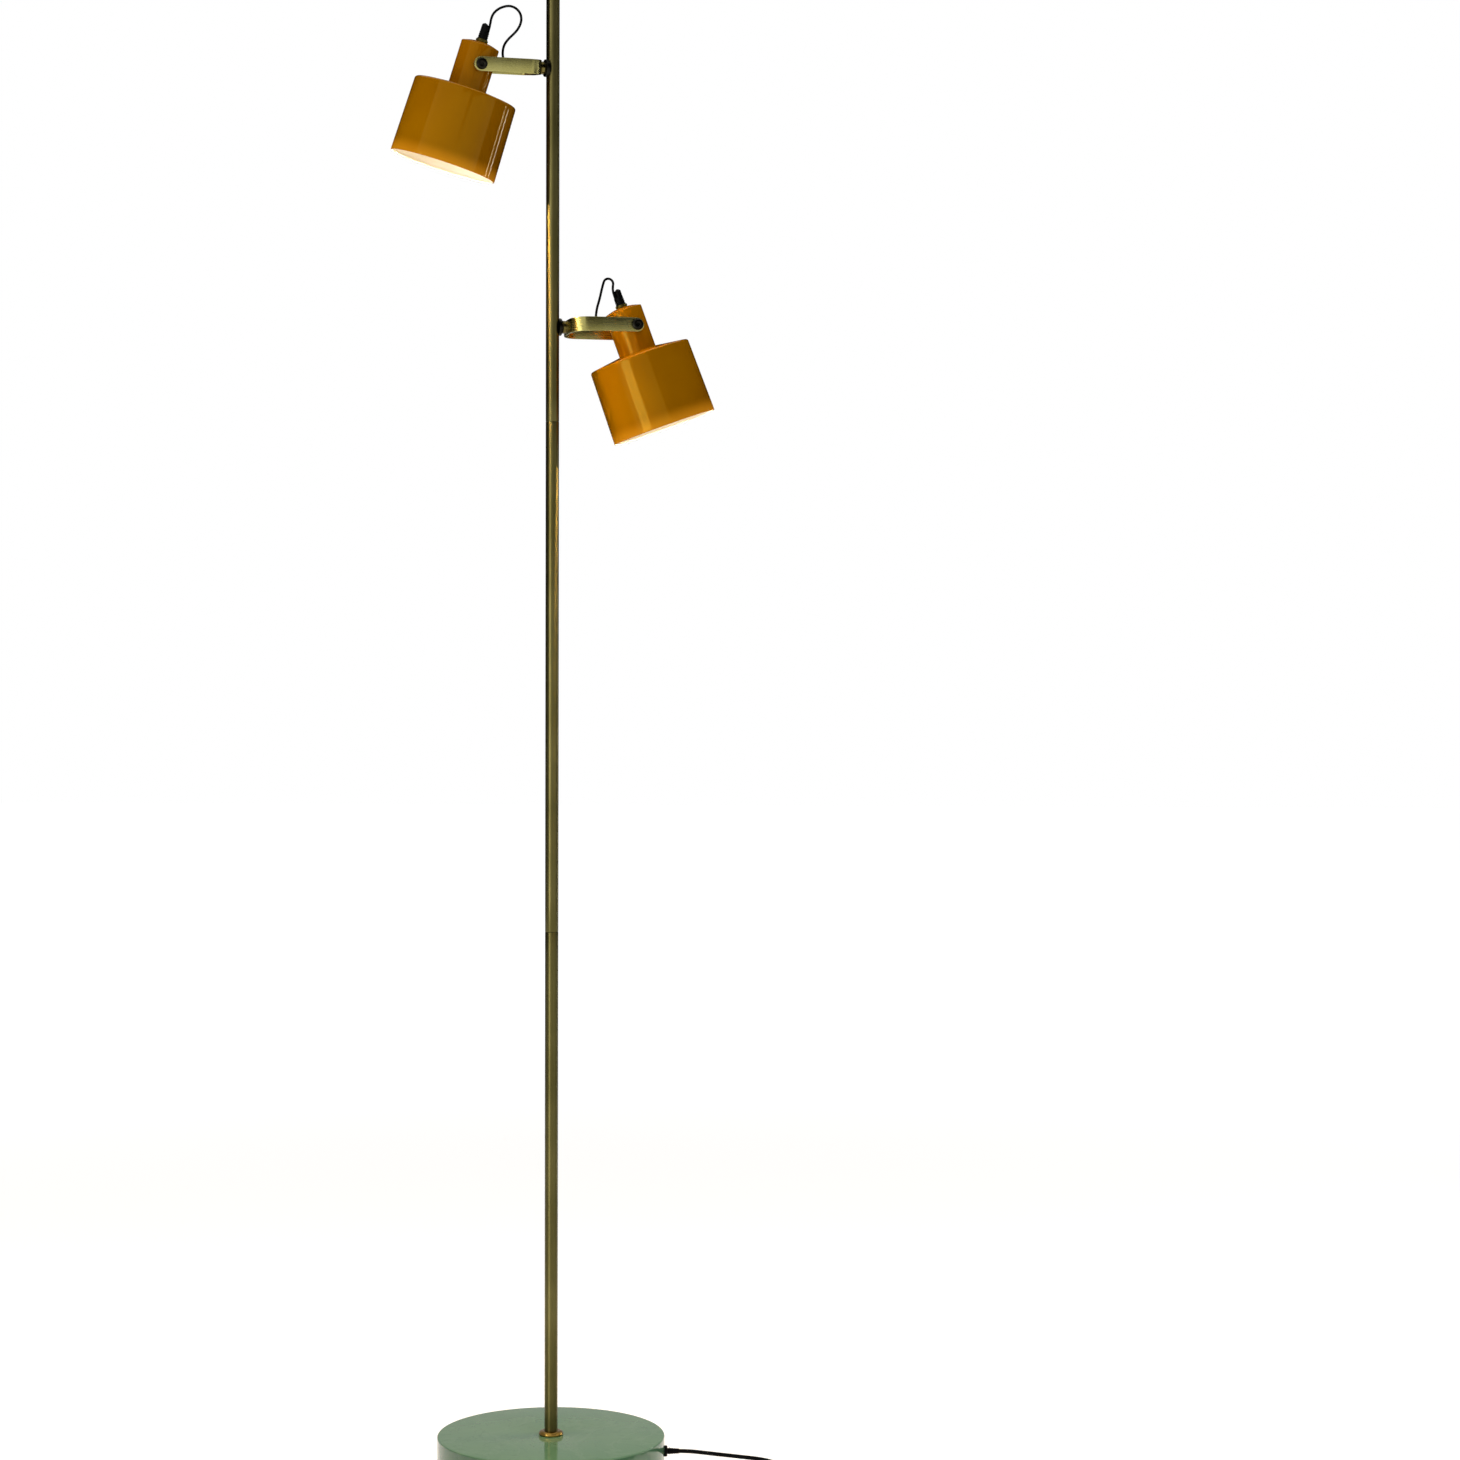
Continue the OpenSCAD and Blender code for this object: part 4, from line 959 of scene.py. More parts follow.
def domeHeight(radius, shrink=0.0):
    return domeZ + math.sqrt((domeR - shrink) ** 2 - radius ** 2)


def neckOutline():
    sheet, lip = neck["sheet"], neck["lip"]
    side = [(neckR, -neck["down"]), (neckR, -neck["down"] + 2), (neckR, -4), (neckR, 8)]
    rimZ = domeHeight(neckR - lip)
    arc = [(neckR - lip + lip * math.cos(pi / 2 * k / 6) ** 0.9 if k < 6 else neckR - lip,
            rimZ - lip * 0.75 + lip * 0.75 * math.sin(pi / 2 * k / 6)) for k in range(7)]
    dome = [(radius, domeHeight(radius)) for radius in (16.2, 14, 11.5, 9, 6.5, neck["hole"])]
    under = [(radius, domeHeight(radius, sheet))
             for radius in (neck["hole"], 9, 13.5, neckR - 2.2)]
    return side + arc + dome + under + [(neckR - sheet, neck["up"] - 2.2),
                                        (neckR - sheet, -neck["down"])]


def shadeOutline():
    # seat, top, shoulder, side, rolled bead, and back inside
    sheet, bead = shade["sheet"], shade["bead"] / 2
    topR, mouthR, seatR = shade["top"] / 2, shade["mouth"] / 2, shade["seat"] / 2
    outside = rounded([
        (seatR, -neck["down"], 0), (neckR, -neck["down"], 0),
        (topR, shoulderZ, shade["shoulder"]), (mouthR, mouthZ + 4, 0),
        (mouthR - 3, mouthZ + 4, 0)], 8)[:-1]
    rows = []
    for (x0, z0), (x1, z1) in zip(outside, outside[1:]):
        pieces = 12 if abs(z1 - z0) > 20 else 6 if abs(x1 - x0) > 15 else 1
        rows += [(x0 + (x1 - x0) * k / pieces, z0 + (z1 - z0) * k / pieces)
                 for k in range(pieces)]
    rows.append(outside[-1])
    curl = [(mouthR - bead + bead * math.cos(-pi * k / 12),
             mouthZ + bead + bead * math.sin(-pi * k / 12)) for k in range(13)]
    curl += [(mouthR - 2 * bead, mouthZ + bead + 0.5), (mouthR - sheet, mouthZ + bead + 1.2)]
    inside = [(mouthR - sheet, mouthZ + 4), (topR - sheet + 0.9, mouthZ + 40),
              (topR - sheet, shoulderZ - sheet - shade["shoulder"] + 0.6),
              (topR - sheet - 0.35, shoulderZ - sheet - 0.75),
              (topR - sheet - 1.2, shoulderZ - sheet - 0.1),
              (neckR, -neck["down"] - sheet), (seatR, -neck["down"] - sheet)]
    return rows, curl, inside


shadeRows, shadeCurl, shadeInside = shadeOutline()
shadeLine = shadeRows + shadeCurl + shadeInside
whiteFrom = len(shadeRows) + 6  # the rolled bead is white from its lowest point on


def whiteBand(band):
    return whiteFrom <= band < len(shadeLine) - 1


def bossShape(spot, reach, angle):
    # the flange's near face follows the neck's round wall
    if spot.z < neckR - 1.5 and reach > pivot["boss"] / 2 + 0.5:
        across = min(abs(spot.x), neckR)
        return Vector((spot.x, spot.y, math.sqrt(neckR ** 2 - across ** 2) + 0.01))
    return spot


def screwShape(spot, reach, angle):
    # the socket's wall is a hexagon
    if reach == pivot["socketR"]:
        size = hexagon(pivot["socket"])(angle)
        return Vector((math.cos(angle) * size, math.sin(angle) * size, spot.z))
    return spot


def tonguePart():
    # the grip's tongue: a D in section, its top rounded off
    rings = []
    flat, outer, middle, ball = grip["flat"], grip["across"] / 2 - 0.5, 1.5, 5.0
    ballZ = gripTop + grip["tongue"] - ball
    rows, straightRows, sides = 25, 19, 48
    for k in range(rows + 1):
        z = gripTop - 0.6 + (grip["tongue"] + 0.6) * (k / rows)
        if k > straightRows:
            share = (k - straightRows) / (rows - straightRows)
            z = gripTop + grip["tongue"] - 1.6 * (1 - share ** 0.5)
        crown = 99
        if z > ballZ:
            crown = math.sqrt(max(0.004, ball ** 2 - max(0, z - ballZ) ** 2)) * 0.98
            crown = min(crown, outer + 2)
        squeeze = 1.0 if z < gripTop + 5 else 1 - 0.9 * ((z - gripTop - 5) / 3) ** 3
        ring = []
        for j in range(sides):
            a = 2 * pi * j / sides
            c, s = math.cos(a), math.sin(a)
            hit = -middle * c + math.sqrt(max(0, outer ** 2 - (middle * s) ** 2))
            if c < 0:
                hit = min(hit, (flat - middle) / c)
            hit = min(hit, crown) * squeeze
            ring.append(Vector((middle + hit * c, hit * s, z)))
        rings.append(ring)
    return skin(rings)


def capThread(low, high, radius, perTurn=36):
    # the bulb cap's rolled thread, as a line for the cord sweep
    count = int((high - low) / bulb["pitch"] * perTurn)
    return [Vector((radius * math.cos(2 * pi * k / perTurn),
                    radius * math.sin(2 * pi * k / perTurn),
                    low + (high - low) * k / count)) * mm for k in range(count + 1)]


def bulbOutline():
    # a globe that runs into its neck in a fair curve
    globeR = bulb["across"] / 2
    globeZ = bulb["capEnd"] - bulb["long"] + globeR
    join = math.radians(bulb["join"])
    globe = [(globeR * math.sin(a), globeZ + globeR * math.cos(a))
             for a in [pi - (pi - join) * k / 34 for k in range(35)]]
    (startR, startZ), bulbNeck = globe[-1], bulb["neck"] / 2
    side = []
    for k in range(1, 11):
        t = k / 10
        side.append((
            (1 - t) ** 2 * startR + 2 * t * (1 - t) * (bulbNeck + 0.9)
            + t ** 2 * (bulbNeck - 0.25),
            (1 - t) ** 2 * startZ + 2 * t * (1 - t) * (bulb["capEnd"] - 6.2)
            + t ** 2 * bulb["capEnd"]))
    return globe + side + [(0, bulb["capEnd"])]


def pivotOutlines():
    # of a screw with its socket, and of the boss between yoke and neck
    seat = arm["width"] / 2 + 0.1
    top, bossTop = seat + pivot["high"], arm["width"] / 2 - arm["thick"] - 0.1
    headR, screwR, flangeR = pivot["head"] / 2, pivot["screw"] / 2, pivot["flange"] / 2
    socketR, bossR, low = pivot["socketR"], pivot["boss"] / 2, pivot["inside"]
    screw = [
        (0, low), (screwR, low), (screwR, seat), (headR - 0.35, seat), (headR, seat + 0.35),
        (headR, top - 1.25), (headR - 0.3, top - 0.8), (headR - 1.1, top - 0.22),
        (headR - 1.9, top), (2.9, top), (2.55, top - 0.25), (socketR, top - 0.45),
        (socketR, top - 1.8), (1.2, top - 1.9), (0, top - 1.9)]
    boss = [
        (screwR + 0.05, low), (bossR, low), (bossR, low + 0.9), (bossR + 0.6, low + 0.9),
        (flangeR * 0.85, low + 0.9), (flangeR, low + 0.9), (flangeR, bossTop - 0.5),
        (flangeR - 0.2, bossTop - 0.15), (flangeR - 0.6, bossTop), (screwR + 0.05, bossTop)]
    return screw, boss


def holderOutline():
    # the skirt's thread stands off where the shade ring grips it
    skirtR, bodyR, socketR, shoulderR, stemR, innerStem = (
        holder[part] / 2 for part in ("skirt", "body", "socket", "shoulder", "stem", "bore"))
    end, bodyTop, stemTop = holder["skirtEnd"], holder["bodyTop"], holder["stemTop"]
    root, thread = skirtR - holder["thread"], []
    for k in range(holder["turns"]):
        low = end + 0.8 + k * holder["pitch"]
        if low + 1.4 < ringLow - 0.2 or low > ringTop:
            thread += [(root, low), (skirtR, low + 0.45), (skirtR, low + 0.75), (root, low + 1.2)]
        else:
            thread += [(skirtR, low), (skirtR, low + 1.2)]
    return [(socketR, end), (skirtR - 1.0, end), (root, end + 0.5)] + thread + [
        (skirtR, holder["skirtTop"]), (bodyR, holder["skirtTop"] + 0.6), (bodyR, bodyTop - 0.6),
        (bodyR - 0.6, bodyTop), (shoulderR, bodyTop), (shoulderR, holder["shoulderTop"]),
        (stemR, holder["shoulderTop"] + 0.4), (stemR, stemTop - 0.8), (stemR - 0.4, stemTop),
        (innerStem, stemTop), (innerStem, holder["floor"]), (socketR, holder["floor"] - 0.3)]


screwOutline, bossOutline = pivotOutlines()
ringR, ringBoreR, nutR = ringPart["across"] / 2, ringPart["bore"] / 2, gripNut["across"] / 2
gripR, hollowR, hollowTop = grip["across"] / 2, gripNut["bore"] / 2, grip["seat"] + 4.8
capR, collarR, capEnd, capTop = (bulb["cap"] / 2, bulb["neck"] / 2 - 0.1, bulb["capEnd"],
                                 bulb["capTop"])
toothPart = skin([
    [Vector((-0.8, y, z)), Vector((0.25, y * 0.7, z)), Vector((0.45, 0, z)),
     Vector((0.25, -y * 0.7, z)), Vector((-0.8, -y, z))] for y, z in ((0.6, 0), (0.6, 3.6))])
knurlPart = skin([
    [Vector((-0.3, w, z)), Vector((d, 0, z)), Vector((-0.3, -w, z))]
    for w, d, z in ((0.15, -0.1, 0), (0.34, 0.24, 0.3), (0.34, 0.24, 1.6), (0.15, -0.1, 1.9))])

for which, head in heads.items():
    pin, body = head["pin"], which + "_head"
    for turn, hand in ((0, "Far"), (pi, "Near")):
        place = pin @ Matrix.Rotation(turn, 4, "Z") @ alongY
        turned(which + "PivotScrew" + hand, screwOutline, place, "blackMetal", body,
               [] if turn else [which + "_pivot_screws"], sides=72, shape=screwShape, smooth=32)
        turned(which + "PivotBoss" + hand, bossOutline, place, "blackMetal", body,
               [] if turn else [which + "_pivot_bosses"], sides=72, shape=bossShape)
    turned(which + "Neck", neckOutline(), pin, "neckEnamel", body, [which + "_neck"],
           sides=128, smooth=50)
    makePiece(which + "Shade", [lathe(shadeLine, 192)], pin, "shadeEnamel", body,
              [which + "_shade"], smooth=50, second="innerWhite", inSecond=whiteBand,
              attribute=("overRim", lambda p: (p.z - mouthZ) * mm))
    # the ring that clamps the shade, with its finger ribs
    turned(which + "ShadeRing", rounded([
        (ringBoreR, ringLow, 0.4), (ringR - 1.4, ringLow, 0.8), (ringR - 1.0, ringTop - 1.6, 0.2),
        (ringR, ringTop - 1.4, 0.3), (ringR, ringTop, 0.3), (ringBoreR, ringTop, 0)], 3),
        pin, "whitePlastic", body, [which + "_shade_ring"])
    grow(which + "ShadeRingRibs", hostMesh(which + "ToothHost", toothPart), ringTree, pin,
         "whitePlastic", body, smooth=50, Count=ringPart["teeth"], Radius=(ringR - 0.95) * mm,
         Height=(ringLow + 0.7) * mm)
    turned(which + "LampHolder", holderOutline(), pin, "blackPlastic", body,
           [which + "_lamp_holder"], sides=72, smooth=35)
    # the nut on the dome, with a knurled edge
    gripNutTop = domeTop + gripNut["high"]
    turned(which + "GripNut", rounded([
        (hollowR, domeTop, 0), (nutR, domeTop, 0.3), (nutR, gripNutTop, 0.5),
        (hollowR, gripNutTop, 0.2)], 4), pin, "oliveBrass", body,
        [which + "_grip_nut"], sides=72)
    grow(which + "GripNutKnurl", hostMesh(which + "KnurlHost", knurlPart), ringTree, pin,
         "oliveBrass", body, smooth=20, Count=gripNut["teeth"], Radius=nutR * mm,
         Height=(domeTop + 0.3) * mm)
    # the cord grip: ribbed body and tongue
    gripBody = lathe(rounded([
        (hollowR, grip["seat"], 0), (gripR - 0.5, grip["seat"], 0.2),
        (gripR - 0.55, gripTop, 0.9), (0.02, gripTop, 0), (0.02, hollowTop, 0),
        (hollowR, hollowTop, 0)], 4), 72)
    makePiece(which + "CordGrip", [gripBody, tonguePart()], pin, "blackPlastic", body,
              [which + "_cord_grip"])
    growRibs(which + "CordGripRibs", "cordGrip",
             pin @ Matrix.Translation((0, 0, (grip["seat"] + 0.75) * mm)), body)
    # the bulb: cap, thread and lit globe
    turned(which + "BulbCap", rounded([
        (0, capEnd, 0), (collarR, capEnd, 0.2), (collarR, capEnd + 1.1, 0.3),
        (capR - 0.45, capEnd + 1.4, 0.2), (capR - 0.45, capTop, 0.4), (4.4, capTop + 1.6, 0.3),
        (3.0, capTop + 1.7, 0.2), (2.9, bulb["contact"], 0.6), (0, bulb["contact"], 0)], 4),
        pin, "nickel", body, [which + "_bulb_cap"], sides=64)
    line = capThread(capEnd + 2.8, capTop - 1.4, capR - bulb["thread"])
    grow(which + "BulbCapThread", lineMesh(which + "ThreadLine", line), cordTree, pin, "nickel",
         body, Radius=bulb["thread"] * mm, Sides=8)
    turned(which + "BulbGlobe", bulbOutline(), pin, "opal", body, [which + "_bulb_glass"],
           smooth=60)
    print(which, "head made")

# Coil tie: a tape round the turns

tie = {"wide": 10.0, "thick": 0.8, "gap": 0.15, "inside": 1.0}
mainsR = cordWidth["mains"] / 2
tieNear = coil["radius"] - coil["step"] * layerTurns - mainsR - tie["gap"] - tie["inside"]
tieFar = coil["radius"] + mainsR + tie["gap"]
tieHigh = coil["low"] + coil["step"] * (coil["layers"] - 1) + mainsR + tie["gap"]


def tiePart():
    # its section follows a rounded box round the bundle
    t, w = tie["thick"], tie["wide"] / 2
    outer = rounded([(tieNear - t, 0, 2.4), (tieFar + t, 0, 2.4),
                     (tieFar + t, tieHigh + t, 3.0), (tieNear - t, tieHigh + t, 3.0)], 6)
    inner = rounded([(tieNear, t, 1.6), (tieFar, t, 1.6), (tieFar, tieHigh, 2.2),
                     (tieNear, tieHigh, 2.2)], 6)
    return skin([[Vector((x, y, z)) for y, z in line]
                 for x, line in ((-w, inner), (-w, outer), (w, outer), (w, inner))], loop=True)


coilTie = makePiece(
    "coilTie", [tiePart()],
    Matrix.Translation((coil["centre"][0] * mm, coil["centre"][1] * mm, 0)),
    "tieTape", "stand", ["coil_tie"])

# Foot switch

atSwitch = Matrix.Translation((switch["place"][0] * mm, switch["place"][1] * mm, 0))
cover = {"seam": 8.1, "gap": 0.25, "top": 17.0, "hole": 18.3, "holeLow": 14.0}
sleeve = {"start": 26.0, "end": 50.0, "flange": 9.2, "neck": 7.8, "tip": 4.7, "ribsFrom": 32.0}
seam, coverTop = cover["seam"], cover["top"]
buttonHole, holeLow = cover["hole"] / 2, cover["holeLow"]
ringSides = 120
ringTurns = [2 * pi * (k + 0.5) / ringSides for k in range(ringSides)]


def slotRing(inset, z):
    # the switch's outline, a stadium along Y, met by rays from its middle
    long, wide = switch["long"] - 2 * inset, switch["wide"] - 2 * inset
    straight, radius = (long - wide) / 2, wide / 2
    ring = []
    for a in ringTurns:
        c, s = math.cos(a), math.sin(a)
        if abs(c) > 1e-9 and abs(s / c) * radius <= straight:
            reach = radius / abs(c)
        else:
            reach = straight * abs(s) + math.sqrt(radius ** 2 - (straight * c) ** 2)
        ring.append(Vector((reach * c, reach * s, z)))
    return ring


def circleRing(radius, z):
    return [Vector((radius * math.cos(a), radius * math.sin(a), z)) for a in ringTurns]


def slotStack(*rows):
    return [slotRing(inset, z) for inset, z in rows]


lowTop = seam - cover["gap"]
lowShell = skin(slotStack((2.2, 0), (0.9, 0.25), (0.25, 0.9), (0, 2.0), (0, lowTop - 0.35),
                          (0.25, lowTop), (1.2, lowTop)))
sleeveLow, sleeveEnd = sleeve["start"], sleeve["end"]
sleeveFlange, sleeveNeck = sleeve["flange"] / 2, sleeve["neck"] / 2
sleevePart = lathe(rounded([
    (sheathRadius, sleeveLow, 0), (sleeveFlange, sleeveLow, 0),
    (sleeveFlange, sleeveLow + 3.2, 0.4), (sleeveNeck, sleeveLow + 4.2, 0.5),
    (sleeve["tip"] / 2, sleeveEnd, 0.3), (sheathRadius, sleeveEnd, 0)], 3), 40)
sleeves = [moved(sleevePart, Matrix.Rotation(turn, 4, "Z")
                 @ Matrix.Translation((0, 0, switch["sleeveUp"])) @ alongY) for turn in (0, pi)]
switchBase = makePiece("switchBase", [lowShell] + sleeves, atSwitch, "blackPlastic", "stand",
                       ["switch_base"], smooth=35)

topShell = skin(
    slotStack((1.4, seam), (0.3, seam), (0, seam + 0.3), (0, coverTop - 3.4),
              (0.35, coverTop - 2.0), (1.2, coverTop - 0.8), (2.6, coverTop - 0.1),
              (3.6, coverTop))
    + [circleRing(buttonHole + 1.25, coverTop), circleRing(buttonHole + 0.45, coverTop - 0.2),
       circleRing(buttonHole + 0.05, coverTop - 0.8), circleRing(buttonHole, holeLow)], caps=False)
coverBack = skin([circleRing(buttonHole, holeLow)]
                 + slotStack((3.4, holeLow - 0.1), (2.0, holeLow - 1.5), (1.4, seam)),
                 caps=False)
switchCover = makePiece("switchCover", [topShell, coverBack], atSwitch, "blackPlastic",
                        "stand", ["switch_cover"], smooth=35)

ribStart = Matrix.Translation((0, sleeve["ribsFrom"] * mm, switch["sleeveUp"] * mm)) @ alongY
sleeveRibs = [
    growRibs("switchSleeveRibs" + label, "switchSleeve",
             atSwitch @ Matrix.Rotation(turn, 4, "Z") @ ribStart, "stand")
    for turn, label in ((0, "A"), (pi, "B"))]

button = {"low": 13.4, "top": 20.5, "rim": 10.4, "across": 18.0}
low, top, buttonR = button["low"], button["top"], button["across"] / 2
switchButton = turned("switchButton", rounded([
    (0, low, 0), (button["rim"], low, 0.2), (button["rim"], low + 1.4, 0.3),
    (buttonR, low + 1.5, 0), (buttonR, top, 1.3), (6.6, top - 0.05, 0.6), (5.6, top - 0.7, 0.6),
    (0, top - 0.9, 0)], 4),
    atSwitch, "greyPlastic", "foot_button", ["switch_button"])
print("switch made")

# Plug: a flat moulded body with a sleeve and two pins

atPlug = (Matrix.Translation((plug["place"][0] * mm, plug["place"][1] * mm, plug["up"] * mm))
          @ Matrix.Rotation(pi, 4, "Z"))
plugCorners = [(24, -6, 3), (36, -17.5, 4), (60, -12, 2.2), (60, 12, 2.2), (36, 17.5, 4),
               (24, 6, 3)]
plugMiddle = Vector((42, 0))
plugNeck = {"tip": 4.9, "root": 9.8, "long": 26.0, "ribsFrom": 3.0}
prong = {"apart": 19.0, "sleeved": 4.0, "bare": 3.76, "root": 42.0, "bareFrom": 69.0,
         "end": 79.0}


def plugRing(swell, z):
    # the body's outline with its corners moved out from the middle by swell
    ring = []
    for x, y, radius in plugCorners:
        away = (Vector((x, y)) - plugMiddle).normalized() * swell
        ring.append((x + away.x, y + away.y, radius))
    return [Vector((x, y, z)) for x, y in rounded(ring, 5)]


plugShell = skin([plugRing(swell, z) for swell, z in (
    (-2.4, -7.0), (-1.0, -6.8), (-0.35, -6.2), (0, -5.2), (0, -0.35), (-0.3, -0.2), (-0.3, 0.2),
    (0, 0.35), (0, 5.2), (-0.35, 6.2), (-1.0, 6.8), (-2.4, 7.0))])
neckRoot, neckLong = plugNeck["root"] / 2, plugNeck["long"]
plugSleeve = lathe(rounded([
    (sheathRadius, 0, 0), (plugNeck["tip"] / 2, 0, 0.2), (neckRoot - 1.3, neckLong - 7, 0),
    (neckRoot - 0.3, neckLong - 4.5, 0.6), (neckRoot, neckLong, 0),
    (sheathRadius, neckLong, 0)], 3), 40)
plugPiece = makePiece("plugBody", [plugShell, moved(plugSleeve, alongX)], atPlug,
                      "blackPlastic", "stand", ["plug_body"], smooth=35)
plugRibs = growRibs("plugSleeveRibs", "plugSleeve",
                    atPlug @ alongX @ Matrix.Translation((0, 0, plugNeck["ribsFrom"] * mm)),
                    "stand")
sleevedR, bareR, bareFrom, tipAt = (prong["sleeved"] / 2, prong["bare"] / 2, prong["bareFrom"],
                                    prong["end"])
pinPart = lathe([
    (0, prong["root"]), (sleevedR, prong["root"]), (sleevedR, bareFrom), (bareR, bareFrom + 0.2),
    (bareR, tipAt - 2.8), (bareR - 0.18, tipAt - 1.6), (bareR - 0.68, tipAt - 0.6),
    (bareR - 1.28, tipAt - 0.1), (0, tipAt)], 40)
plugPins = makePiece(
    "plugPins",
    [moved(pinPart, Matrix.Translation((0, side * prong["apart"] / 2, 0)) @ alongX)
     for side in (-1, 1)],
    atPlug, "nickel", "stand", ["plug_pins"], smooth=35, second="blackPlastic",
    inSecond=lambda band: band in (1, 2))  # the sleeved part of a pin
print("plug made")

# Inner CAD parts keep their shape and get their finish

innerFinish = {
    "coverSteel": ["base_cover"],
    "zinc": ["base_screws", "base_nipple", "base_washer", "base_nut", "foot_insert",
             "pole_couplers", "cross_nuts"],
    "whitePlastic": ["terminal_block", "switch_core"],
    "greyPlastic": ["cord_clip"],
    "cordSheath": ["mains_inner", "pole_leads"],
}
for finish, nodes in innerFinish.items():
    for node in nodes:
        for materialSlot in frame["nodes"][node].material_slots:
            materialSlot.material = finishes[finish]

# Floor, cards, world and lamps

floor = {"half": 9.0, "colour": (0.62, 0.62, 0.61, 1),
         "near": (1.2, 0.5), "far": (4.0, 0.84)}  # distance, and the light it gives itself
cards = {
    # first and last degree round the lamp, lowest, highest
    "cardBehind": (26, 214, 0.0, 3.2),
    "cardRight": (-14, 26, 0.0, 1.22),
    "cardHigh": (-88, 26, 1.72, 6.0),
    "cardYoke": (-72, -32, 1.4, 1.72),
}
cardRing = {"distance": 2.6, "pieces": 24}
fromBase = {"height": 0.07, "level": 0.42}  # a ray from below this height meets the cards grey
studio = {
    "ambient": 0.26,
    "aim": Vector((0, 0, 1.1)),
    "lamps": [
        # name, place, size across and up, watts, colour, whether gloss shows it
        ("softbox", (-1.49, -2.25, 0.56), (0.94, 1.1), 19, (1.0, 0.98, 0.94), True),
        ("sideStrip", (-1.98, -1.84, 1.52), (0.24, 0.8), 3.8, (1.0, 0.98, 0.96), True),
        ("fill", (2.0, -2.6, 1.6), (1.6, 1.6), 18, (0.97, 0.98, 1.0), False),
        ("lowLeft", (-2.5, -0.7, 0.5), (1.0, 1.0), 26, (1.0, 0.97, 0.92), False),
        ("edgeNear", (1.85, 0.76, 0.66), (0.022, 0.9), 1.9, (1.0, 0.98, 0.95), True),
        ("edgeFar", (1.63, 1.16, 0.66), (0.022, 0.9), 1.9, (1.0, 0.98, 0.95), True),
        ("top", (0.0, -0.4, 5.0), (2.5, 2.5), 130, (1.0, 1.0, 1.0), False),
    ],
    "sparesBase": ["softbox", "sideStrip", "lowLeft"],
}
glow = {"across": 80.0, "colour": (1.0, 0.62, 0.28), "gloss": 4.6, "matt": 3.6}


def seenRays(tree):
    # 1 for camera, glossy and transmission rays
    path = addNode(tree, "ShaderNodeLightPath")
    first = addNode(tree, "ShaderNodeMath", operation="MAXIMUM")
    second = addNode(tree, "ShaderNodeMath", operation="MAXIMUM")
    wire(tree, (path, "Is Camera Ray", first, 0), (path, "Is Glossy Ray", first, 1),
         (first, "Value", second, 0), (path, "Is Transmission Ray", second, 1))
    return second


def emptyMaterial(name):
    made = bpy.data.materials.new(name)
    made.use_nodes = True
    made.node_tree.nodes.clear()
    return made, made.node_tree, addNode(made.node_tree, "ShaderNodeOutputMaterial")


def floorMaterial():
    # pale, with a light of its own that grows away from the lamp, so that it ends in white
    made, tree, sink = emptyMaterial("paleFloor")
    place = addNode(tree, "ShaderNodeTexCoord")
    away = addNode(tree, "ShaderNodeVectorMath", operation="LENGTH")
    (nearAt, nearLevel), (farAt, farLevel) = floor["near"], floor["far"]
    reach = addNode(tree, "ShaderNodeMapRange", interpolation_type="SMOOTHSTEP",
                    **{"From Min": nearAt, "From Max": farAt, "To Min": nearLevel,
                       "To Max": farLevel})
    strength = addNode(tree, "ShaderNodeMath", operation="MULTIPLY")
    matt = addNode(tree, "ShaderNodeBsdfDiffuse", Color=floor["colour"])
    lift = addNode(tree, "ShaderNodeEmission")
    both = addNode(tree, "ShaderNodeAddShader")
    wire(tree, (place, "Object", away, 0), (away, "Value", reach, "Value"),
         (seenRays(tree), "Value", strength, 0), (reach, "Result", strength, 1),
         (strength, "Value", lift, "Strength"), (matt, "BSDF", both, 0),
         (lift, "Emission", both, 1), (both, "Shader", sink, "Surface"))
    return made


def cardMaterial():
    # black, but grey to a ray that comes up from the polished base
    made, tree, sink = emptyMaterial("blackCard")
    met = addNode(tree, "ShaderNodeNewGeometry")
    back = addNode(tree, "ShaderNodeSeparateXYZ")
    spot = addNode(tree, "ShaderNodeSeparateXYZ")
    flat = addNode(tree, "ShaderNodeVectorMath", operation="MULTIPLY", second=(1, 1, 0))
    run = addNode(tree, "ShaderNodeVectorMath", operation="LENGTH")
    slope = addNode(tree, "ShaderNodeMath", operation="DIVIDE")
    origin = addNode(tree, "ShaderNodeMath", operation="MULTIPLY_ADD",
                     second=cardRing["distance"])
    below = addNode(tree, "ShaderNodeMath", operation="LESS_THAN", second=fromBase["height"])
    grey = addNode(tree, "ShaderNodeMath", operation="MULTIPLY", second=fromBase["level"])
    lift = addNode(tree, "ShaderNodeEmission", Color=(1, 1, 1, 1))
    wire(tree, (met, "Incoming", back, 0), (met, "Incoming", flat, 0),
         (met, "Position", spot, 0), (flat, "Vector", run, 0), (back, "Z", slope, 0),
         (run, "Value", slope, 1), (slope, "Value", origin, 0), (spot, "Z", origin, 2),
         (origin, "Value", below, 0), (below, "Value", grey, 0),
         (grey, "Value", lift, "Strength"), (lift, "Emission", sink, "Surface"))
    return made


def stagePiece(name, points, faces, material):
    mesh = bpy.data.meshes.new(name)
    mesh.from_pydata(points, [], faces)
    mesh.materials.append(material)
    made = bpy.data.objects.new(name, mesh)
    scene.collection.objects.link(made)
    return made


half = floor["half"]
stagePiece("floor", [(-half, -half, 0), (half, -half, 0), (half, half, 0), (-half, half, 0)],
           [(0, 1, 2, 3)], floorMaterial())

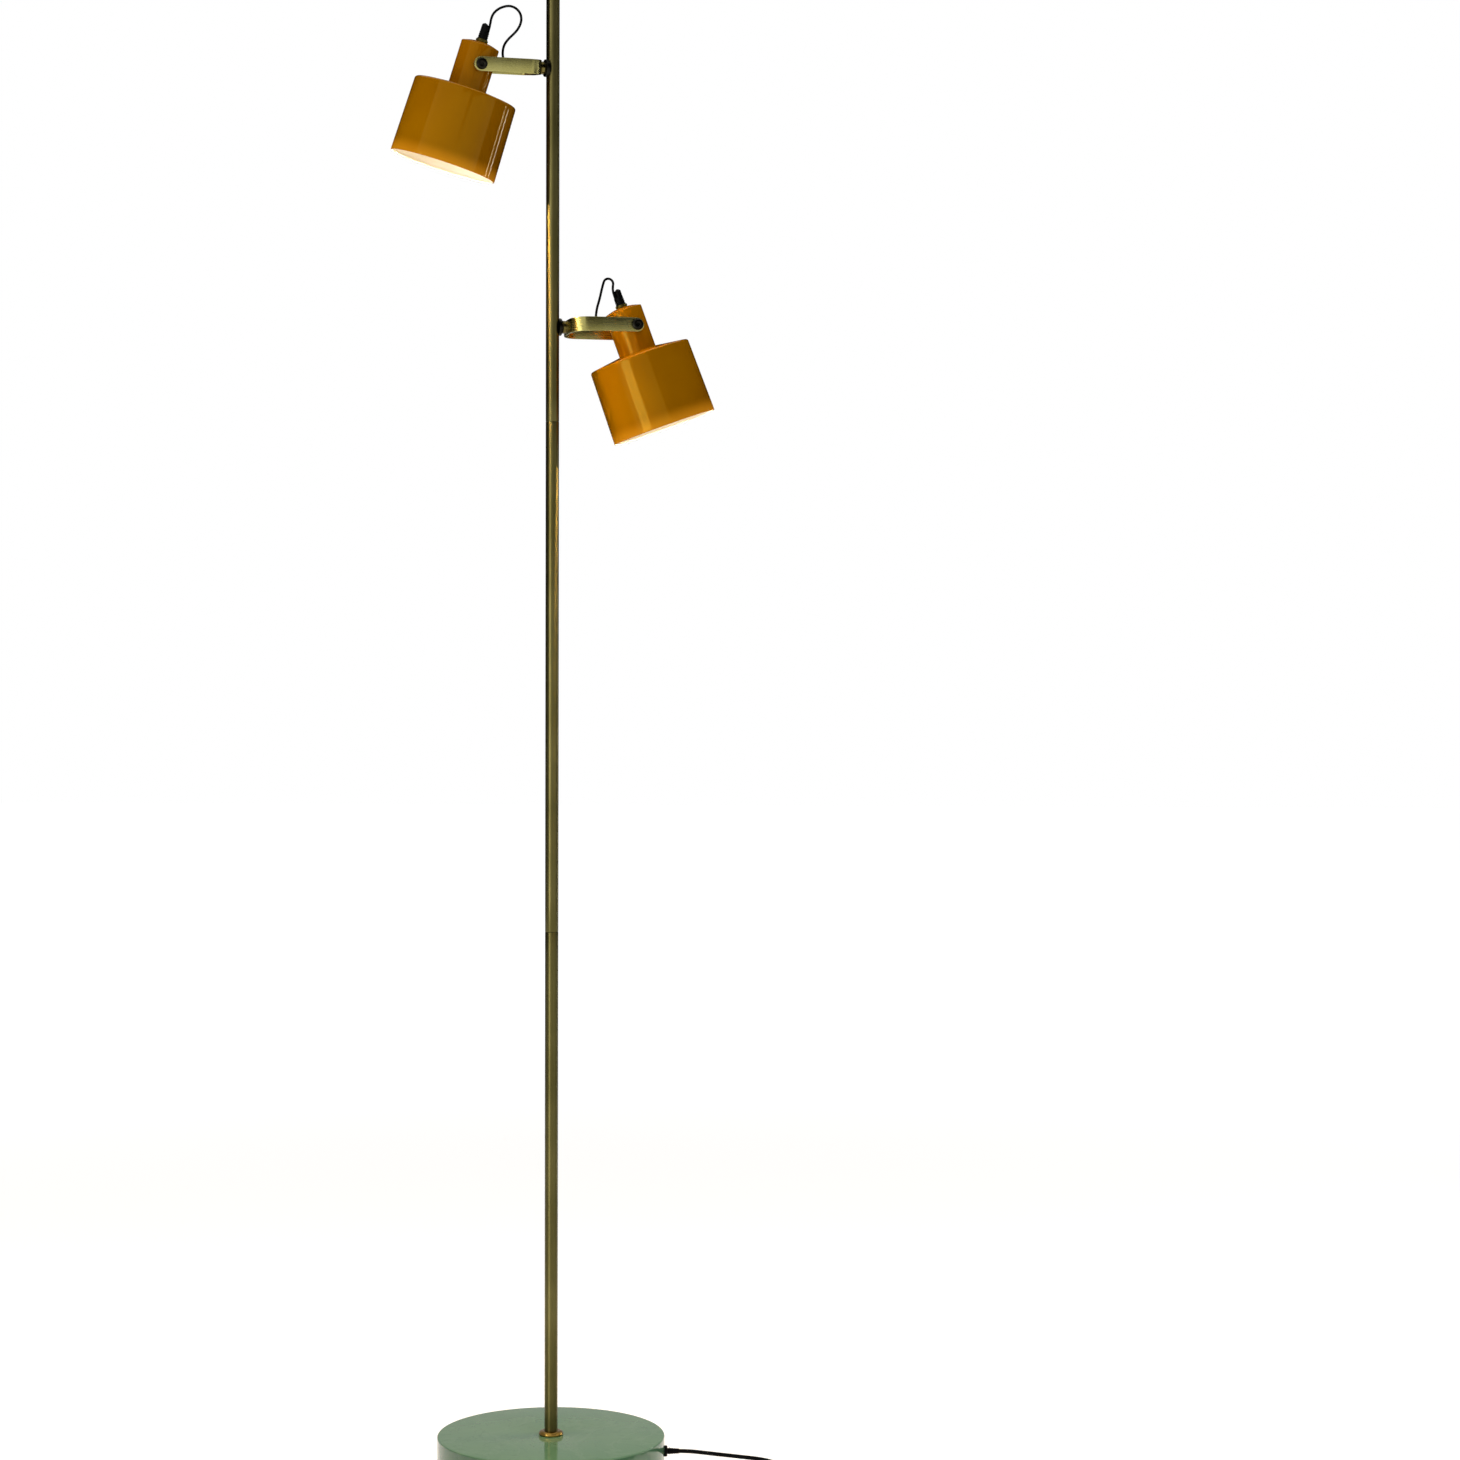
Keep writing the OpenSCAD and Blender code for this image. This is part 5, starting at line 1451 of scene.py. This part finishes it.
# black cards, seen in gloss and metal only, give the pole and the enamel their dark edges
black = cardMaterial()
distance, count = cardRing["distance"], cardRing["pieces"]
for label, (first, final, low, high) in cards.items():
    turns = [math.radians(first + (final - first) * k / count) for k in range(count + 1)]
    card = stagePiece(
        label,
        [(distance * math.cos(a), distance * math.sin(a), up) for up in (low, high)
         for a in turns],
        [(k, k + 1, k + count + 2, k + count + 1) for k in range(count)], black)
    card.visible_camera = card.visible_diffuse = False
    card.visible_shadow = card.visible_transmission = False

world = bpy.data.worlds.new("studio")
scene.world = world
world.use_nodes = True
tree = world.node_tree
backdrop = adjust(tree.nodes["Background"], Color=(1, 1, 1, 1))
level = addNode(tree, "ShaderNodeMapRange", **{"To Min": studio["ambient"], "To Max": 1.0})
wire(tree, (seenRays(tree), "Value", level, "Value"), (level, "Result", backdrop, "Strength"))


def linkList(name, labels, state):
    # the pieces that a lamp lights alone, or leaves alone
    made = bpy.data.collections.new(name)
    for label in labels:
        made.objects.link(bpy.data.objects[label])
    for item in made.collection_objects:
        item.light_linking.link_state = state
    return made


def addLamp(name, shape, size, watts, tint, place, **seen):
    data = bpy.data.lights.new(name, "AREA")
    data.shape = shape
    data.size, data.size_y = size
    data.energy = watts
    data.color = tint
    lamp = bpy.data.objects.new(name, data)
    lamp.matrix_world = place
    lamp.visible_camera = False
    for ray, shows in seen.items():
        setattr(lamp, "visible_" + ray, shows)
    scene.collection.objects.link(lamp)
    return lamp


unlit = linkList("unlitBase", ["marbleDisc"], "EXCLUDE")
for label, place, size, watts, tint, shiny in studio["lamps"]:
    target = Vector((0, 0, place[2])) if shiny else studio["aim"]
    facing = (Vector(place) - target).normalized().to_track_quat("Z", "Y").to_matrix().to_4x4()
    lamp = addLamp(label, "RECTANGLE", size, watts, tint, Matrix.Translation(place) @ facing,
                   glossy=shiny)
    if label in studio["sparesBase"]:
        lamp.light_linking.receiver_collection = unlit

# the lit bulbs' warm light, on the brass beside each mouth and on the enamel below it
glowing = linkList("glowingBrass", ["lowerPoleTube", "middlePoleTube", "upperPoleTube",
                                    "upperYoke", "lowerYoke"], "INCLUDE")
discSize = (glow["across"] * mm, glow["across"] * mm)
for which, head in heads.items():
    mouth = head["pin"] @ Matrix.Translation((0, 0, (mouthZ + 1) * mm))
    shine = addLamp(which + "GlossGlow", "DISK", discSize, glow["gloss"], glow["colour"], mouth,
                    transmission=False, glossy=True, diffuse=False)
    shine.light_linking.receiver_collection = glowing
    addLamp(which + "MattGlow", "DISK", discSize, glow["matt"], glow["colour"], mouth,
            transmission=False, glossy=False, diffuse=True)
print("studio lit")
